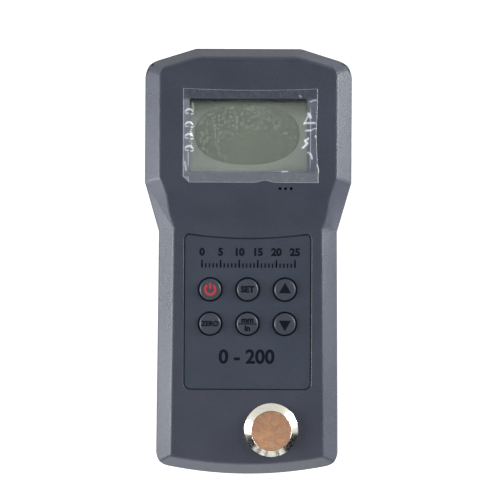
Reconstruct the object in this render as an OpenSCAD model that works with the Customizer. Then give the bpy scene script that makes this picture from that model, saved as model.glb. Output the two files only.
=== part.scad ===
// Ultrasonic thickness gauge, lying on its back with the display head towards +Y.
// The origin is the middle of the back, and the front face looks along +Z.

/* [Case] */
// Overall length from the top end to the foot
case_length = 126; // [121:1:140]
// Width of the display head
head_width = 60.9; // [59:0.1:68]
// Width of the grip where the waist ends
grip_width = 53; // [52:0.1:56]
// Width of the grip at the foot
foot_width = 54.2; // [53:0.1:58]
// Thickness at the display head
head_height = 27; // [26:0.5:32]
// Thickness at the grip
grip_height = 23.5; // [22.5:0.5:25]
// Length of the straight head from the top end to the waist
head_length = 39.4; // [38:0.1:44]
// Length over which the waist narrows
waist_length = 14.5; // [12:0.5:18]
// How far the face slope runs past the waist at each end
slope_overrun = 1.1; // [0:0.1:3]
// Flat width of the top end
crown_width = 31; // [30:0.5:40]
// Fall of the shoulders beside the flat top end, in degrees
shoulder_angle = 17.4; // [8:0.2:22]
// Rounding of the shoulders
shoulder_radius = 5.8; // [3:0.1:9]
// Radius of the arc that ends the foot
foot_arc = 119; // [90:1:240]
// Rounding of the foot corners
foot_radius = 4.5; // [3:0.1:7]
// Wall of both shells
wall = 2; // [1.6:0.1:2.4]
// Height of the parting line
parting_height = 12.5; // [10:0.5:15]

/* [Bevels] */
// Width of the front bevel along the sides
bevel_width = 4.7; // [3:0.1:6]
// Width of the front bevel at the top end
crown_bevel_width = 3.6; // [2.5:0.1:6]
// Width of the front bevel at the foot
foot_bevel_width = 4; // [2.5:0.1:6]
// Height of the front bevel
bevel_height = 5; // [3.5:0.1:6]
// Width of the bevel round the back
back_bevel_width = 2.5; // [1:0.1:3]
// Height of the bevel round the back
back_bevel_height = 3; // [1.5:0.1:4]

/* [Seam] */
// Depth of the groove along the parting line
seam_depth = 0.35; // [0.2:0.05:0.5]
// Height of the groove along the parting line
seam_height = 0.5; // [0.3:0.1:0.8]
// Height of the tongue on the rear shell
tongue_height = 1.2; // [0.8:0.1:2]
// Thickness of the tongue on the rear shell
tongue_thickness = 0.8; // [0.6:0.05:0.9]

/* [Display] */
// Width of the display opening
window_width = 34.2; // [30:0.1:37]
// Height of the display opening
window_height = 21.2; // [18:0.1:23]
// Distance from the top end to the display opening
window_from_top = 15.4; // [15:0.1:17]
// Corner rounding of the display opening
window_radius = 0.8; // [0.4:0.1:2]
// Thickness of the clear window's rim behind the opening
lens_thickness = 1.2; // [0.8:0.1:1.6]
// How far the clear window lies below the head face
lens_recess = 0.8; // [0.4:0.1:1.8]
// How far the window reaches past the opening on each side
lens_overlap = 1.8; // [1:0.1:2.2]
// Width of the rim that holds the window
lens_rim = 0.9; // [0.6:0.1:1.2]
// Thickness of each of the two display glasses
glass_thickness = 0.9; // [0.5:0.1:1.1]
// How far the display reaches past the opening sideways
lcd_side_margin = 2.9; // [2:0.1:3.5]
// How far the display reaches past the opening lengthways
lcd_end_margin = 1.9; // [1.5:0.1:2.2]
// Depth of the contact ledges of the display glass
ledge_depth = 1.8; // [1.2:0.1:2.4]
// Wall of the frame round the display
frame_wall = 1; // [0.8:0.1:1.2]
// Width of the protective film
film_width = 39; // [36:0.1:42]
// Height of the protective film
film_height = 27.3; // [25:0.1:29]
// How far the film is stuck off centre to the right
film_shift = 0.6; // [-1:0.1:1]
// How far the film is stuck below the middle of the opening
film_drop = 0.1; // [-0.5:0.1:0.5]
// Thickness of the protective film
film_thickness = 0.12; // [0.06:0.01:0.2]

/* [Keypad] */
// Width of the keypad plate
plate_width = 36.8; // [34:0.1:38]
// Gap between the keypad plate and the edge of its pocket
plate_gap = 0.3; // [0.1:0.05:0.4]
// How far the keypad plate lies below the grip face
plate_sink = 0.15; // [0:0.05:0.3]
// Gap between the keypad plate and the bright ring of the test block
plate_to_ring = 4.05; // [2:0.05:12]
// Distance from the end of the waist to the keypad plate
plate_from_waist = 0.8; // [0.2:0.1:2]
// How far the top edge of the keypad plate dips in the middle
plate_dip = 1.4; // [0.5:0.1:3]
// Corner rounding of the keypad plate
plate_radius = 1.7; // [1:0.1:3]
// Thickness of the keypad plate
plate_thickness = 0.7; // [0.5:0.05:0.8]
// Diameter of a key
key_diameter = 6.3; // [5:0.1:7]
// Gap between a key and the keypad plate
key_gap = 0.45; // [0.2:0.05:0.6]
// Sideways spacing of the keys
key_pitch_x = 10.95; // [10:0.05:12]
// Lengthways spacing of the keys
key_pitch_y = 10.05; // [9.8:0.05:12]
// Distance from the side top of the keypad plate to the upper row of keys
key_row_drop = 16.2; // [12:0.1:20]
// How far a key stands above the keypad plate
key_rise = 0.6; // [0.5:0.1:1.5]
// Rounding of the key tops
key_round = 0.6; // [0.3:0.1:1]
// How far a key can be pressed
key_travel = 0.5; // [0.3:0.05:0.7]

/* [Test block] */
// Sideways place of the test block
block_x = 7.1; // [-10:0.1:10]
// Distance from the foot to the middle of the test block
block_from_foot = 14; // [13:0.1:14.5]
// Outer diameter of the bright ring
ring_diameter = 15.8; // [14.5:0.1:16]
// Diameter of the copper-coloured face
block_diameter = 11.5; // [9:0.1:11.8]
// How far the face stands above the grip
block_rise = 2; // [1.2:0.1:3]
// Thickness of the test disc
block_thickness = 5; // [4:0.1:5.5]
// Thickness of the push-on washer behind the wall
clip_thickness = 0.6; // [0.4:0.05:0.8]

/* [Battery] */
// Diameter of a cell
cell_diameter = 10.5; // [10:0.1:10.6]
// Length of a cell over its button
cell_length = 44.5; // [43:0.1:45]
// Spacing of the cells
cell_pitch = 10.8; // [10.7:0.05:11]
// Diameter of a cell's button
button_diameter = 3.8; // [3:0.1:4.5]
// Length of a cell's button
button_length = 0.8; // [0.5:0.1:1.2]
// Length of a contact spring under load
spring_length = 4.6; // [4:0.1:5]
// Wire of a contact spring
spring_wire = 0.5; // [0.4:0.05:0.7]
// Thickness of the contact plates
contact_thickness = 0.4; // [0.3:0.05:0.5]
// Distance from the foot to the battery bay
bay_from_foot = 6.1; // [5.8:0.1:7]
// Wall of the battery bay
bay_wall = 1.2; // [0.8:0.1:1.3]
// Thickness of the battery door
door_thickness = 2.2; // [2:0.1:2.6]
// Thickness of the lip that holds the door
door_lip = 1; // [0.8:0.1:1.2]
// Width of the door's side tongues
door_tongue = 1.2; // [0.8:0.1:1.4]

/* [Probe sockets] */
// Distance between the two probe sockets
socket_spacing = 14; // [12:0.1:15]
// Bore of a probe socket
socket_bore = 5; // [4:0.1:5.4]
// Depth of the bore of a probe socket
socket_depth = 6.5; // [5:0.1:7]
// Diameter of the socket body where it passes the end panel
socket_diameter = 6.9; // [6.6:0.1:7.2]
// Diameter of the flange inside the end panel
flange_diameter = 9.5; // [8.5:0.1:10]
// Width across the flats of a socket nut
nut_width = 9; // [8.2:0.1:9.2]
// Thickness of a socket nut
nut_thickness = 1.6; // [1.2:0.1:1.8]
// Thickness of the end panel
panel_thickness = 2; // [1.5:0.1:2.4]
// Width of the opening in the top end
panel_opening_width = 26; // [25:0.1:28]
// Height of the opening in the top end
panel_opening_height = 11; // [10.8:0.1:11.5]

/* [Board] */
// Thickness of the main board
board_thickness = 1.6; // [1:0.1:1.8]
// Room between the board and the side walls of the grip
board_margin = 2.1; // [1.8:0.1:3]
// Height left in a snap dome when its key is pressed right in
dome_rest = 0.2; // [0.15:0.05:0.4]
// Diameter of a snap dome
dome_diameter = 5; // [4:0.1:6]
// Diameter of the buzzer
buzzer_diameter = 8; // [6:0.1:8.4]
// Diameter of a sound hole
sound_hole = 0.85; // [0.5:0.05:1.2]
// Spacing of the sound holes
sound_pitch = 1.62; // [1.4:0.02:2]
// Sideways place of the sound holes
sound_x = 10.9; // [6:0.1:12]

/* [Screws] */
// Diameter of a case screw
case_screw = 2.4; // [2:0.1:2.6]
// Head diameter of a case screw
case_screw_head = 4.4; // [3.8:0.1:4.8]
// Length of a case screw under its head
case_screw_length = 12; // [8:0.5:12.5]
// Height of the screw seats above the back
case_screw_seat = 7; // [5:0.5:8]
// Diameter of the bosses that take the case screws
case_boss = 4.8; // [4.2:0.1:5.2]
// Diameter of a board screw
board_screw = 2; // [1.6:0.1:2.2]
// Head diameter of a board screw
board_screw_head = 3.6; // [3:0.1:4]

/* [Fits] */
// Gap between pieces that seat in each other
seat_gap = 0.1; // [0.05:0.01:0.15]
// Gap between pieces that slide past each other
slide_gap = 0.2; // [0.15:0.01:0.3]
// Gap between pieces that must stay clear
clear_gap = 0.3; // [0.2:0.01:0.4]

/* [Hidden] */
$fn = 96;

key_names = ["power", "set", "up", "zero", "unit", "down"];
cell_count = 4;
key_columns = 3;

// Reach of a cutting body, larger than the case
reach = 2*case_length;
// Small overlap of a cut past the surface that it opens
over = 0.5;
// How far a round lies towards its corner, as a share of its radius
round_lead = 0.002;

// Outline of the case
top_y = case_length/2;
foot_y = -case_length/2;
waist_y = top_y - head_length;
neck_y = waist_y - waist_length;
shoulder_y = top_y - (head_width - crown_width)/2*tan(shoulder_angle);
arc_centre = [0, foot_y + foot_arc];
// How far the head form and the grip form run into each other
blend_reach = 9;
// How far the cut for the foot's bevel runs past its outer edge, its inner edge and the foot
foot_lead = 3;
foot_tail = 9;
foot_out = 12;
waist_slope = (head_width - grip_width)/2/waist_length;
grip_flare = (foot_width - grip_width)/2/(neck_y - foot_y);
head_side = [
  [crown_width/2, top_y],
  [head_width/2, shoulder_y],
  [head_width/2, waist_y],
  [grip_width/2 - waist_slope*blend_reach, neck_y - blend_reach]
];
grip_side = [
  [grip_width/2 - grip_flare*blend_reach, neck_y + blend_reach],
  [foot_width/2 + grip_flare*blend_reach, foot_y - blend_reach]
];
head_points = concat(head_side, mirrored(head_side));
grip_points = concat(grip_side, mirrored(grip_side));

// Face of the case: the grip level, an S-curve over the waist, and the head level
face_drop = head_height - grip_height;
slope_top_y = waist_y + slope_overrun;
slope_low_y = neck_y - slope_overrun;
slope_run = slope_top_y - slope_low_y;
slope_radius = (pow(slope_run, 2) + pow(face_drop, 2))/(4*face_drop);
head_edge = head_height - bevel_height;
grip_edge = grip_height - bevel_height;
neck_tip_edge = grip_edge - blend_reach*face_drop/waist_length;

// Test block in the grip face
block_y = foot_y + block_from_foot;
ring_shoulder = 0.85;
ring_shank = ring_diameter - 2*ring_shoulder;
ring_bore = block_diameter + seat_gap;
ring_edge = 0.3;
shank_depth = wall + clip_thickness + clear_gap;
washer_reach = 1.5;

// Places on the keypad
plate_top = neck_y - plate_from_waist;
plate_low = block_y + ring_diameter/2 + plate_to_ring;
plate_length = plate_top - plate_low;
plate_y = (plate_top + plate_low)/2;
key_first_y = plate_top - key_row_drop;
key_hole = key_diameter + 2*key_gap;
flange_rim = 0.95;
flange_reach = key_hole + 2*flange_rim;

// Display stack under the head face
window_top = top_y - window_from_top;
window_low = window_top - window_height;
window_y = (window_top + window_low)/2;
lens_top = head_height - wall;
lens_low = lens_top - lens_thickness;
lcd_top = lens_low - slide_gap;
lcd_low = lcd_top - 2*glass_thickness;
lcd_width = window_width + 2*lcd_side_margin;
lcd_height = window_height + 2*lcd_end_margin;
lens_width = window_width + 2*lens_overlap;
lens_height = window_height + 2*lens_overlap;
frame_low = window_low - lcd_end_margin - slide_gap - frame_wall;
frame_high = window_top + lcd_end_margin + slide_gap + frame_wall;
backlight_least = 1.5;

// Heights under the grip face: the board lies as high as both the keys and the display allow
face_low = grip_height - wall;
pocket_floor = grip_height - plate_sink - plate_thickness - seat_gap/2;
flange_thickness = 0.7;
flange_top = face_low - slide_gap;
dome_height = key_travel + dome_rest;
dome_skin = 0.15;
stem_diameter = 2.5;
stem_over_board = dome_height + seat_gap/2;
board_top = min(
  flange_top - flange_thickness - clear_gap - stem_over_board,
  lcd_low - seat_gap - backlight_least
);
board_low = board_top - board_thickness;
stem_low = board_top + stem_over_board;
key_top = grip_height + key_rise - seat_gap/2;

// Sound holes below the display
sound_drop = 4.85;
sound_y = window_low - sound_drop;
buzzer_y = frame_low - clear_gap - buzzer_diameter/2;
buzzer_height = face_low - board_top - clear_gap/2;

// Battery bay, door and rails
cell_radius = cell_diameter/2;
cells_half = (cell_count - 1)/2*cell_pitch + cell_radius;
bay_half = cells_half + slide_gap;
bay_low = foot_y + bay_from_foot;
bay_length = cell_length + spring_length + 2*contact_thickness + slide_gap;
bay_high = bay_low + bay_length;
door_half = bay_half - slide_gap;
door_tongue_half = door_half + door_tongue;
door_high = bay_high + bay_wall + clear_gap;
groove_half = door_tongue_half + slide_gap;
groove_top = door_thickness + slide_gap;
cell_z = groove_top + slide_gap + cell_radius;
bay_ceiling = cell_z + cell_radius + slide_gap;
bay_top = bay_ceiling + bay_wall;
contact_margin = 0.8;
contact_half = cell_radius - contact_margin;
spring_base = 7.3;
spring_tip = 4.2;
spring_turns = 3;
tab_width = 2.4;
latch_half = 6;
latch_length = 1.5;
rib_depth = 2;
grip_ribs = 6;
grip_rib_pitch = 2.2;
grip_rib_width = 1;
grip_rib_depth = 0.5;
grip_rib_length = 18;
grip_rib_from_foot = 9;

// Top end with the probe sockets
panel_front = top_y - wall;
panel_back = panel_front - panel_thickness;
panel_lap = 1.3;
panel_width = panel_opening_width + 2*panel_lap;
panel_height = panel_opening_height + 2*panel_lap;
rib_thickness = 1.2;
flange_depth = 1.4;
socket_nose = panel_front + nut_thickness + slide_gap;
tail_length = 7;
bore_step = 0.5;
insert_diameter = socket_bore - 2*bore_step;
insert_length = 2;
socket_pin = 0.9;
lead_diameter = 1.8;
lead_straight = 2;
lead_bend = 3;

// Board outline and what it carries
board_half = grip_width/2 - wall - board_margin;
board_high_y = panel_back - seat_gap - rib_thickness - clear_gap;
board_overrun = 1.2;
board_low_y = plate_low - board_overrun;
post_wall = 1;
post_diameter = board_screw + 2*post_wall;
post_edge = post_diameter/2 + slide_gap;
upper_post_inset = 8;
board_posts = [
  [board_half - upper_post_inset, board_high_y - post_edge],
  [board_half - post_edge, board_low_y + post_edge]
];
screw_bite = 2.4;
board_screw_head_height = 1.3;

// Case screws: two in the head and two at the waist
case_head_height = 1.6;
well_diameter = case_screw_head + 2*slide_gap;
well_wall = 1.1;
seat_thickness = 1.5;
boss_low = case_screw_seat + seat_thickness + seat_gap;
head_boss_out = 1;
waist_boss_in = 1.2;
waist_boss_gap = 4;
head_boss = [board_half + head_boss_out, frame_high + clear_gap + case_boss/2];
waist_boss = [
  board_half - case_boss/2 - waist_boss_in,
  door_high + well_diameter/2 + well_wall + waist_boss_gap
];
case_bosses = [head_boss, waist_boss];
slot_width = 0.7;
slot_length = 2.6;

// Parts on the underside of the board
controller_place = [0, neck_y + 4];
controller_size = [10, 10, 1.4];
signal_place = [-10, window_y - 4];
signal_size = [6, 8, 1.5];
chip_leg = 0.8;
crystal_size = [9, 4.2, 3];
crystal_place = controller_place
  + [controller_size[0]/2 + chip_leg + clear_gap + crystal_size[0]/2, 0];
coil_place = [9, window_y - 3];
coil_diameter = 7;
coil_height = 4;
coil_rim = 0.8;

function unit(v) = v/norm(v);

// The points of a right-hand side, seen again on the left
function mirrored(points) = [for (i = [len(points) - 1:-1:0]) [-points[i][0], points[i][1]]];

// Unit vector into a clockwise outline from its edge between two points
function inward(from, to) = let (edge = unit(to - from)) [edge[1], -edge[0]];

// A clockwise outline drawn in by a distance
function inset(points, depth) = let (count = len(points)) [
  for (i = [0:count - 1])
    let (
      before = inward(points[(i + count - 1) % count], points[i]),
      after = inward(points[i], points[(i + 1) % count])
    )
    points[i] + depth*(before + after)/(1 + before*after)
];

// Place of a key by its number, counted from the upper left
function key_place(i) = [
  (i % key_columns - (key_columns - 1)/2)*key_pitch_x,
  key_first_y - floor(i/key_columns)*key_pitch_y
];

// Place of a cell across the bay
function cell_x(i) = (i - (cell_count - 1)/2)*cell_pitch;

// Odd cells point their button to the head, even ones to the foot
function button_up(i) = i % 2 == 0;

module both_sides() {
  children();
  mirror([1, 0, 0]) children();
}

// Corner piece that a round of this radius leaves over.
// The round lies a hair towards the corner, so that it crosses both edges cleanly.
module corner_rest(centre, start, end, radius) {
  translate(unit(start + end - 2*centre)*radius*round_lead) difference() {
    polygon([centre, start, start + end - centre, end]);
    translate(centre) circle(radius);
  }
}

// Corner piece between two straight edges that meet at a point
module vertex_rest(corner, before, after, radius) {
  u = unit(before - corner);
  v = unit(after - corner);
  half = acos(u*v)/2;
  centre = corner + unit(u + v)*radius/sin(half);
  corner_rest(centre, corner + u*radius/tan(half), corner + v*radius/tan(half), radius);
}

// Corner piece between the side of the grip and the arc of the foot
module foot_rest(depth) {
  points = inset(grip_points, depth);
  radius = foot_radius - depth;
  down = unit(points[1] - points[0]);
  start = points[0] + inward(points[0], points[1])*radius - arc_centre;
  room = foot_arc - depth - radius;
  along = -(start*down) + sqrt(pow(start*down, 2) - start*start + pow(room, 2));
  centre = arc_centre + start + down*along;
  on_arc = arc_centre + unit(centre - arc_centre)*(foot_arc - depth);
  corner_rest(centre, points[0] + down*along, on_arc, radius);
}

module head_outline(depth) {
  points = inset(head_points, depth);
  difference() {
    polygon(points);
    both_sides() vertex_rest(points[1], points[0], points[2], shoulder_radius - depth);
  }
}

module grip_outline(depth) {
  difference() {
    intersection() {
      polygon(inset(grip_points, depth));
      translate(arc_centre) circle(foot_arc - depth);
    }
    both_sides() foot_rest(depth);
  }
}

module case_outline(depth) {
  head_outline(depth);
  grip_outline(depth);
}

// Everything on the outer side of a plane through a point
module half_space(point, normal) {
  z = unit(normal);
  x = unit(cross([0, 0, 1], z));
  y = cross(z, x);
  multmatrix([for (i = [0:2]) [x[i], y[i], z[i], point[i]]])
    translate([-reach/2, -reach/2, 0]) cube(reach);
}

// Cut for the front bevel along an edge that may fall from one height to another
module front_bevel(from, to, from_z, to_z, width, depth) {
  edge = [to[0] - from[0], to[1] - from[1], to_z - from_z];
  run = inward(from, to)*width;
  normal = unit(cross([run[0], run[1], bevel_height], edge));
  half_space([from[0], from[1], from_z] - normal*depth, normal);
}

// Cut for the bevel round the back along one edge
module back_bevel(from, to, depth) {
  edge = [to[0] - from[0], to[1] - from[1], 0];
  run = inward(from, to)*back_bevel_width;
  normal = unit(cross(edge, [run[0], run[1], -back_bevel_height]));
  half_space([from[0], from[1], back_bevel_height] - normal*depth, normal);
}

// Ring that bevels the arc of the foot between an outer and an inner point of its section
module foot_bevel(outer, inner, depth) {
  slope = unit(inner - outer);
  away = unit([abs(slope[1]), abs(slope[0])*sign(slope[1])]);
  low = outer - slope*foot_lead - away*depth;
  high = inner + slope*foot_tail - away*depth;
  far = [foot_arc + foot_out, high[1]];
  translate(arc_centre) rotate_extrude() polygon([low, high, far, [far[0], low[1]]]);
}

module head_form(depth) {
  difference() {
    translate([0, 0, depth]) linear_extrude(head_height + over) head_outline(depth);
    front_bevel(head_points[7], head_points[0], head_edge, head_edge, crown_bevel_width, depth);
    back_bevel(head_points[7], head_points[0], depth);
    both_sides() {
      front_bevel(head_points[0], head_points[1], head_edge, head_edge, crown_bevel_width, depth);
      front_bevel(head_points[1], head_points[2], head_edge, head_edge, bevel_width, depth);
      front_bevel(head_points[2], head_points[3], head_edge, neck_tip_edge, bevel_width, depth);
      for (i = [0:2]) back_bevel(head_points[i], head_points[i + 1], depth);
    }
  }
}

module grip_form(depth) {
  difference() {
    translate([0, 0, depth]) linear_extrude(head_height + over) grip_outline(depth);
    both_sides() {
      front_bevel(grip_points[0], grip_points[1], grip_edge, grip_edge, bevel_width, depth);
      back_bevel(grip_points[0], grip_points[1], depth);
    }
    foot_bevel([foot_arc, grip_edge], [foot_arc - foot_bevel_width, grip_height], depth);
    foot_bevel([foot_arc, back_bevel_height], [foot_arc - back_bevel_width, 0], depth);
  }
}

// All that lies above the face, as a section along the case
module over_face(depth) {
  crown = [slope_top_y, head_height - slope_radius];
  hollow = [slope_low_y, grip_height + slope_radius];
  middle = crown + unit(hollow - crown)*(slope_radius - depth);
  head_level = head_height - depth;
  grip_level = grip_height - depth;
  difference() {
    union() {
      polygon([
        [foot_y - over, grip_level], [slope_low_y, grip_level], middle, [slope_top_y, head_level],
        [top_y + over, head_level], [top_y + over, 2*head_height], [foot_y - over, 2*head_height]
      ]);
      intersection() {
        translate(hollow) circle(slope_radius + depth);
        translate([slope_low_y, grip_level]) square([middle[0] - slope_low_y, middle[1] - grip_level]);
      }
    }
    intersection() {
      translate(crown) circle(slope_radius - depth);
      translate(middle) square([slope_top_y - middle[0], head_level - middle[1]]);
    }
  }
}

// The whole case as a solid, drawn in by a depth from its outer surface
module case_form(depth) {
  difference() {
    union() {
      head_form(depth);
      grip_form(depth);
    }
    rotate([90, 0, 90]) linear_extrude(reach, center = true) over_face(depth);
  }
}

// Ring between two depths below the outline, between two heights
module outline_ring(outer, inner, low, high) {
  translate([0, 0, low]) linear_extrude(high - low) difference() {
    case_outline(outer);
    case_outline(inner);
  }
}

module slab(low, high) {
  translate([-reach/2, -reach/2, low]) cube([reach, reach, high - low]);
}

// Box between two corners
module box(low, high) {
  translate(low) cube(high - low);
}

module rounded_rectangle(width, height, radius) {
  square([width - 2*radius, height], center = true);
  square([width, height - 2*radius], center = true);
  for (x = [-1, 1]) for (y = [-1, 1])
    translate([x*(width/2 - radius), y*(height/2 - radius)]) circle(radius);
}

// Outline of the keypad plate, grown by a gap for its pocket
module plate_outline(grow) {
  dip_radius = (pow(plate_width/2, 2) + pow(plate_dip, 2))/(2*plate_dip);
  difference() {
    translate([0, plate_y])
      rounded_rectangle(plate_width + 2*grow, plate_length + 2*grow, plate_radius + grow);
    translate([0, plate_top - plate_dip + dip_radius]) circle(dip_radius - grow);
  }
}

module at_keys() {
  for (i = [0:len(key_names) - 1]) translate(key_place(i)) children();
}

module at_sound_holes() {
  for (i = [-1:1]) translate([sound_x + i*sound_pitch, sound_y]) children();
}

module at_case_bosses() {
  for (place = case_bosses) both_sides() translate(place) children();
}

module at_board_posts() {
  for (place = board_posts) both_sides() translate(place) children();
}

// Cylinder along Y that starts at a place and runs towards +Y
module along_y(diameter, length, sides = $fn) {
  rotate([-90, 0, 0]) cylinder(d = diameter, h = length, $fn = sides);
}

// Opening in the top end, cut half from each shell
module panel_opening() {
  box(
    [-panel_opening_width/2, panel_front - over, parting_height - panel_opening_height/2],
    [panel_opening_width/2, top_y + over, parting_height + panel_opening_height/2]
  );
}

// Rib across the inside of the top end that backs the end panel
module panel_rib(low, high) {
  box(
    [-panel_width/2, panel_back - seat_gap - rib_thickness, low],
    [panel_width/2, panel_back - seat_gap, high]
  );
}

module front_shell() {
  color([0.27, 0.29, 0.34]) difference() {
    union() {
      intersection() {
        difference() {
          case_form(0);
          case_form(wall);
        }
        slab(parting_height, head_height + over);
      }
      intersection() {
        case_form(wall/2);
        front_fittings();
      }
    }
    outline_ring(-over, seam_depth, parting_height - over, parting_height + seam_height);
    outline_ring(
      wall - tongue_thickness - seat_gap, wall + over,
      parting_height - over, parting_height + tongue_height + seat_gap
    );
    front_openings();
  }
}

// Bosses, posts and ribs inside the front shell
module front_fittings() {
  at_case_bosses() translate([0, 0, boss_low]) cylinder(d = case_boss, h = head_height - boss_low);
  at_board_posts() translate([0, 0, board_top]) cylinder(d = post_diameter, h = head_height - board_top);
  translate([0, window_y, lens_low]) linear_extrude(wall + lens_thickness) difference() {
    square([lens_width + 2*(seat_gap + lens_rim), lens_height + 2*(seat_gap + lens_rim)], center = true);
    square([lens_width + 2*seat_gap, lens_height + 2*seat_gap], center = true);
  }
  panel_rib(parting_height + panel_opening_height/2, head_height);
}

// Display opening, keypad pocket and all holes of the front shell
module front_openings() {
  translate([0, window_y, lens_top - over]) linear_extrude(wall + 2*over)
    rounded_rectangle(window_width, window_height, window_radius);
  translate([0, 0, pocket_floor]) linear_extrude(wall) plate_outline(plate_gap);
  translate([0, 0, face_low - over]) linear_extrude(wall) at_keys() circle(d = key_hole);
  translate([0, 0, board_top]) linear_extrude(head_height) at_sound_holes() circle(d = sound_hole);
  translate([block_x, block_y, face_low - over])
    cylinder(d = ring_shank + 2*seat_gap, h = wall + 2*over);
  panel_opening();
  at_case_bosses() translate([0, 0, boss_low - over])
    cylinder(d = case_screw + seat_gap, h = over + case_screw_length - seat_thickness + seat_gap);
  at_board_posts() translate([0, 0, board_top - over])
    cylinder(d = board_screw + seat_gap, h = over + screw_bite + seat_gap);
}

module rear_shell() {
  color([0.25, 0.27, 0.32]) difference() {
    union() {
      intersection() {
        difference() {
          case_form(0);
          case_form(wall);
        }
        slab(-over, parting_height);
      }
      intersection() {
        case_form(wall/2);
        rear_fittings();
      }
      outline_ring(
        wall - tongue_thickness, wall,
        parting_height - over, parting_height + tongue_height
      );
    }
    rear_openings();
  }
}

// Battery bay, door rails, screw wells and ribs inside the rear shell
module rear_fittings() {
  box([-bay_half - bay_wall, bay_low - bay_wall, 0], [bay_half + bay_wall, bay_high + bay_wall, bay_top]);
  both_sides() box(
    [bay_half, foot_y, 0],
    [groove_half + bay_wall, door_high + bay_wall, groove_top + bay_wall]
  );
  box(
    [-latch_half - rib_depth, bay_high, 0],
    [latch_half + rib_depth, door_high + latch_length + rib_depth, groove_top + bay_wall]
  );
  at_case_bosses() cylinder(d = well_diameter + 2*well_wall, h = case_screw_seat + seat_thickness);
  panel_rib(0, parting_height - panel_opening_height/2);
}

// Path of the door, room for the cells and all holes of the rear shell
module rear_openings() {
  box(
    [-bay_half, foot_y - over, -over],
    [bay_half, door_high + slide_gap, groove_top]
  );
  box(
    [-groove_half, foot_y - over, door_lip],
    [groove_half, door_high + slide_gap, groove_top]
  );
  box(
    [-latch_half - slide_gap, door_high, door_lip],
    [latch_half + slide_gap, door_high + latch_length + slide_gap, groove_top]
  );
  difference() {
    box([-bay_half, bay_low, 0], [bay_half, bay_high, bay_ceiling]);
    cell_ridges();
  }
  terminal_slots();
  panel_opening();
  at_case_bosses() translate([0, 0, -over]) {
    cylinder(d = well_diameter, h = case_screw_seat + over);
    cylinder(d = case_screw + 2*slide_gap, h = parting_height);
  }
}

// Low ridges under the bay's ceiling that part the cells
module cell_ridges() {
  ridge_width = cell_pitch/3;
  for (i = [0:cell_count - 2])
    translate([(cell_x(i) + cell_x(i + 1))/2, bay_low + spring_length + over, bay_ceiling])
      rotate([-90, 0, 0]) linear_extrude(bay_length - 2*spring_length - 2*over)
        polygon([[-ridge_width/2, -over], [ridge_width/2, -over], [0, rib_depth]]);
}

// Slots through which the two terminals reach the board
module terminal_slots() {
  for (i = [0, cell_count - 1])
    translate([cell_x(i), bay_high - contact_thickness/2 - seat_gap/2, bay_ceiling])
      cube([tab_width + 2*slide_gap, contact_thickness + 3*seat_gap, 4*bay_wall], center = true);
}

module battery_door() {
  color([0.25, 0.27, 0.32]) difference() {
    union() {
      intersection() {
        case_form(0);
        box([-door_half, foot_y - over, 0], [door_half, door_high, door_thickness]);
      }
      intersection() {
        case_form(wall/2);
        both_sides() box(
          [0, foot_y, door_lip + slide_gap],
          [door_tongue_half, door_high, door_thickness]
        );
      }
      box(
        [-latch_half, door_high - over, door_lip + slide_gap],
        [latch_half, door_high + latch_length, door_thickness]
      );
    }
    for (i = [0:grip_ribs - 1])
      translate([0, foot_y + grip_rib_from_foot + i*grip_rib_pitch, 0])
        cube([grip_rib_length, grip_rib_width, 2*grip_rib_depth], center = true);
  }
}

// Clear window: a rim behind the wall and a raised middle that fills the opening
module display_window() {
  middle = head_height - lens_recess - lens_low;
  color([0.8, 0.85, 0.84, 0.5]) translate([0, window_y, lens_low]) {
    linear_extrude(lens_thickness) rounded_rectangle(lens_width, lens_height, window_radius);
    linear_extrude(middle) rounded_rectangle(
      window_width - 2*seat_gap, window_height - 2*seat_gap, window_radius - seat_gap
    );
  }
}

module screen_film() {
  color([0.85, 0.87, 0.9, 0.4]) translate([film_shift, window_y - film_drop, head_height])
    linear_extrude(film_thickness) rounded_rectangle(film_width, film_height, window_radius);
}

// Front glass with contact ledges at both ends, and the shorter back glass
module lcd_panel() {
  color([0.46, 0.49, 0.44]) translate([-lcd_width/2, window_y - lcd_height/2, lcd_low]) {
    translate([0, 0, glass_thickness]) cube([lcd_width, lcd_height, glass_thickness]);
    translate([0, ledge_depth, 0]) cube([lcd_width, lcd_height - 2*ledge_depth, glass_thickness]);
  }
}

module lcd_frame() {
  inner_width = lcd_width + 2*slide_gap;
  inner_height = lcd_height + 2*slide_gap;
  color([0.85, 0.85, 0.82]) translate([0, window_y, board_top])
    linear_extrude(lcd_top - board_top) difference() {
      square([inner_width + 2*frame_wall, inner_height + 2*frame_wall], center = true);
      square([inner_width, inner_height], center = true);
    }
}

module backlight() {
  width = lcd_width - 2*slide_gap;
  height = lcd_height - 2*ledge_depth - 2*slide_gap;
  color([0.92, 0.94, 0.9]) translate([-width/2, window_y - height/2, board_top])
    cube([width, height, lcd_low - board_top - seat_gap]);
}

// Conductive rubber strips between the board and the ledges of the display
module contact_strips() {
  strip_width = ledge_depth - 2*slide_gap;
  strip_y = lcd_height/2 - ledge_depth/2;
  color([0.75, 0.55, 0.6]) for (side = [-1, 1])
    translate([-lcd_width/2 + slide_gap, window_y + side*strip_y - strip_width/2, board_top])
      cube([lcd_width - 2*slide_gap, strip_width, lcd_low + glass_thickness - board_top - seat_gap/2]);
}

module main_board() {
  color([0.1, 0.33, 0.2]) translate([0, 0, board_low]) linear_extrude(board_thickness) difference() {
    translate([0, (board_high_y + board_low_y)/2])
      square([2*board_half, board_high_y - board_low_y], center = true);
    at_case_bosses() circle(d = case_boss + 2*slide_gap);
    at_board_posts() circle(d = board_screw + 2*slide_gap);
  }
}

module keypad_panel() {
  color([0.25, 0.28, 0.34]) translate([0, 0, pocket_floor + seat_gap/2])
    linear_extrude(plate_thickness - seat_gap/2) difference() {
      plate_outline(0);
      at_keys() circle(d = key_hole);
    }
}

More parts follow.
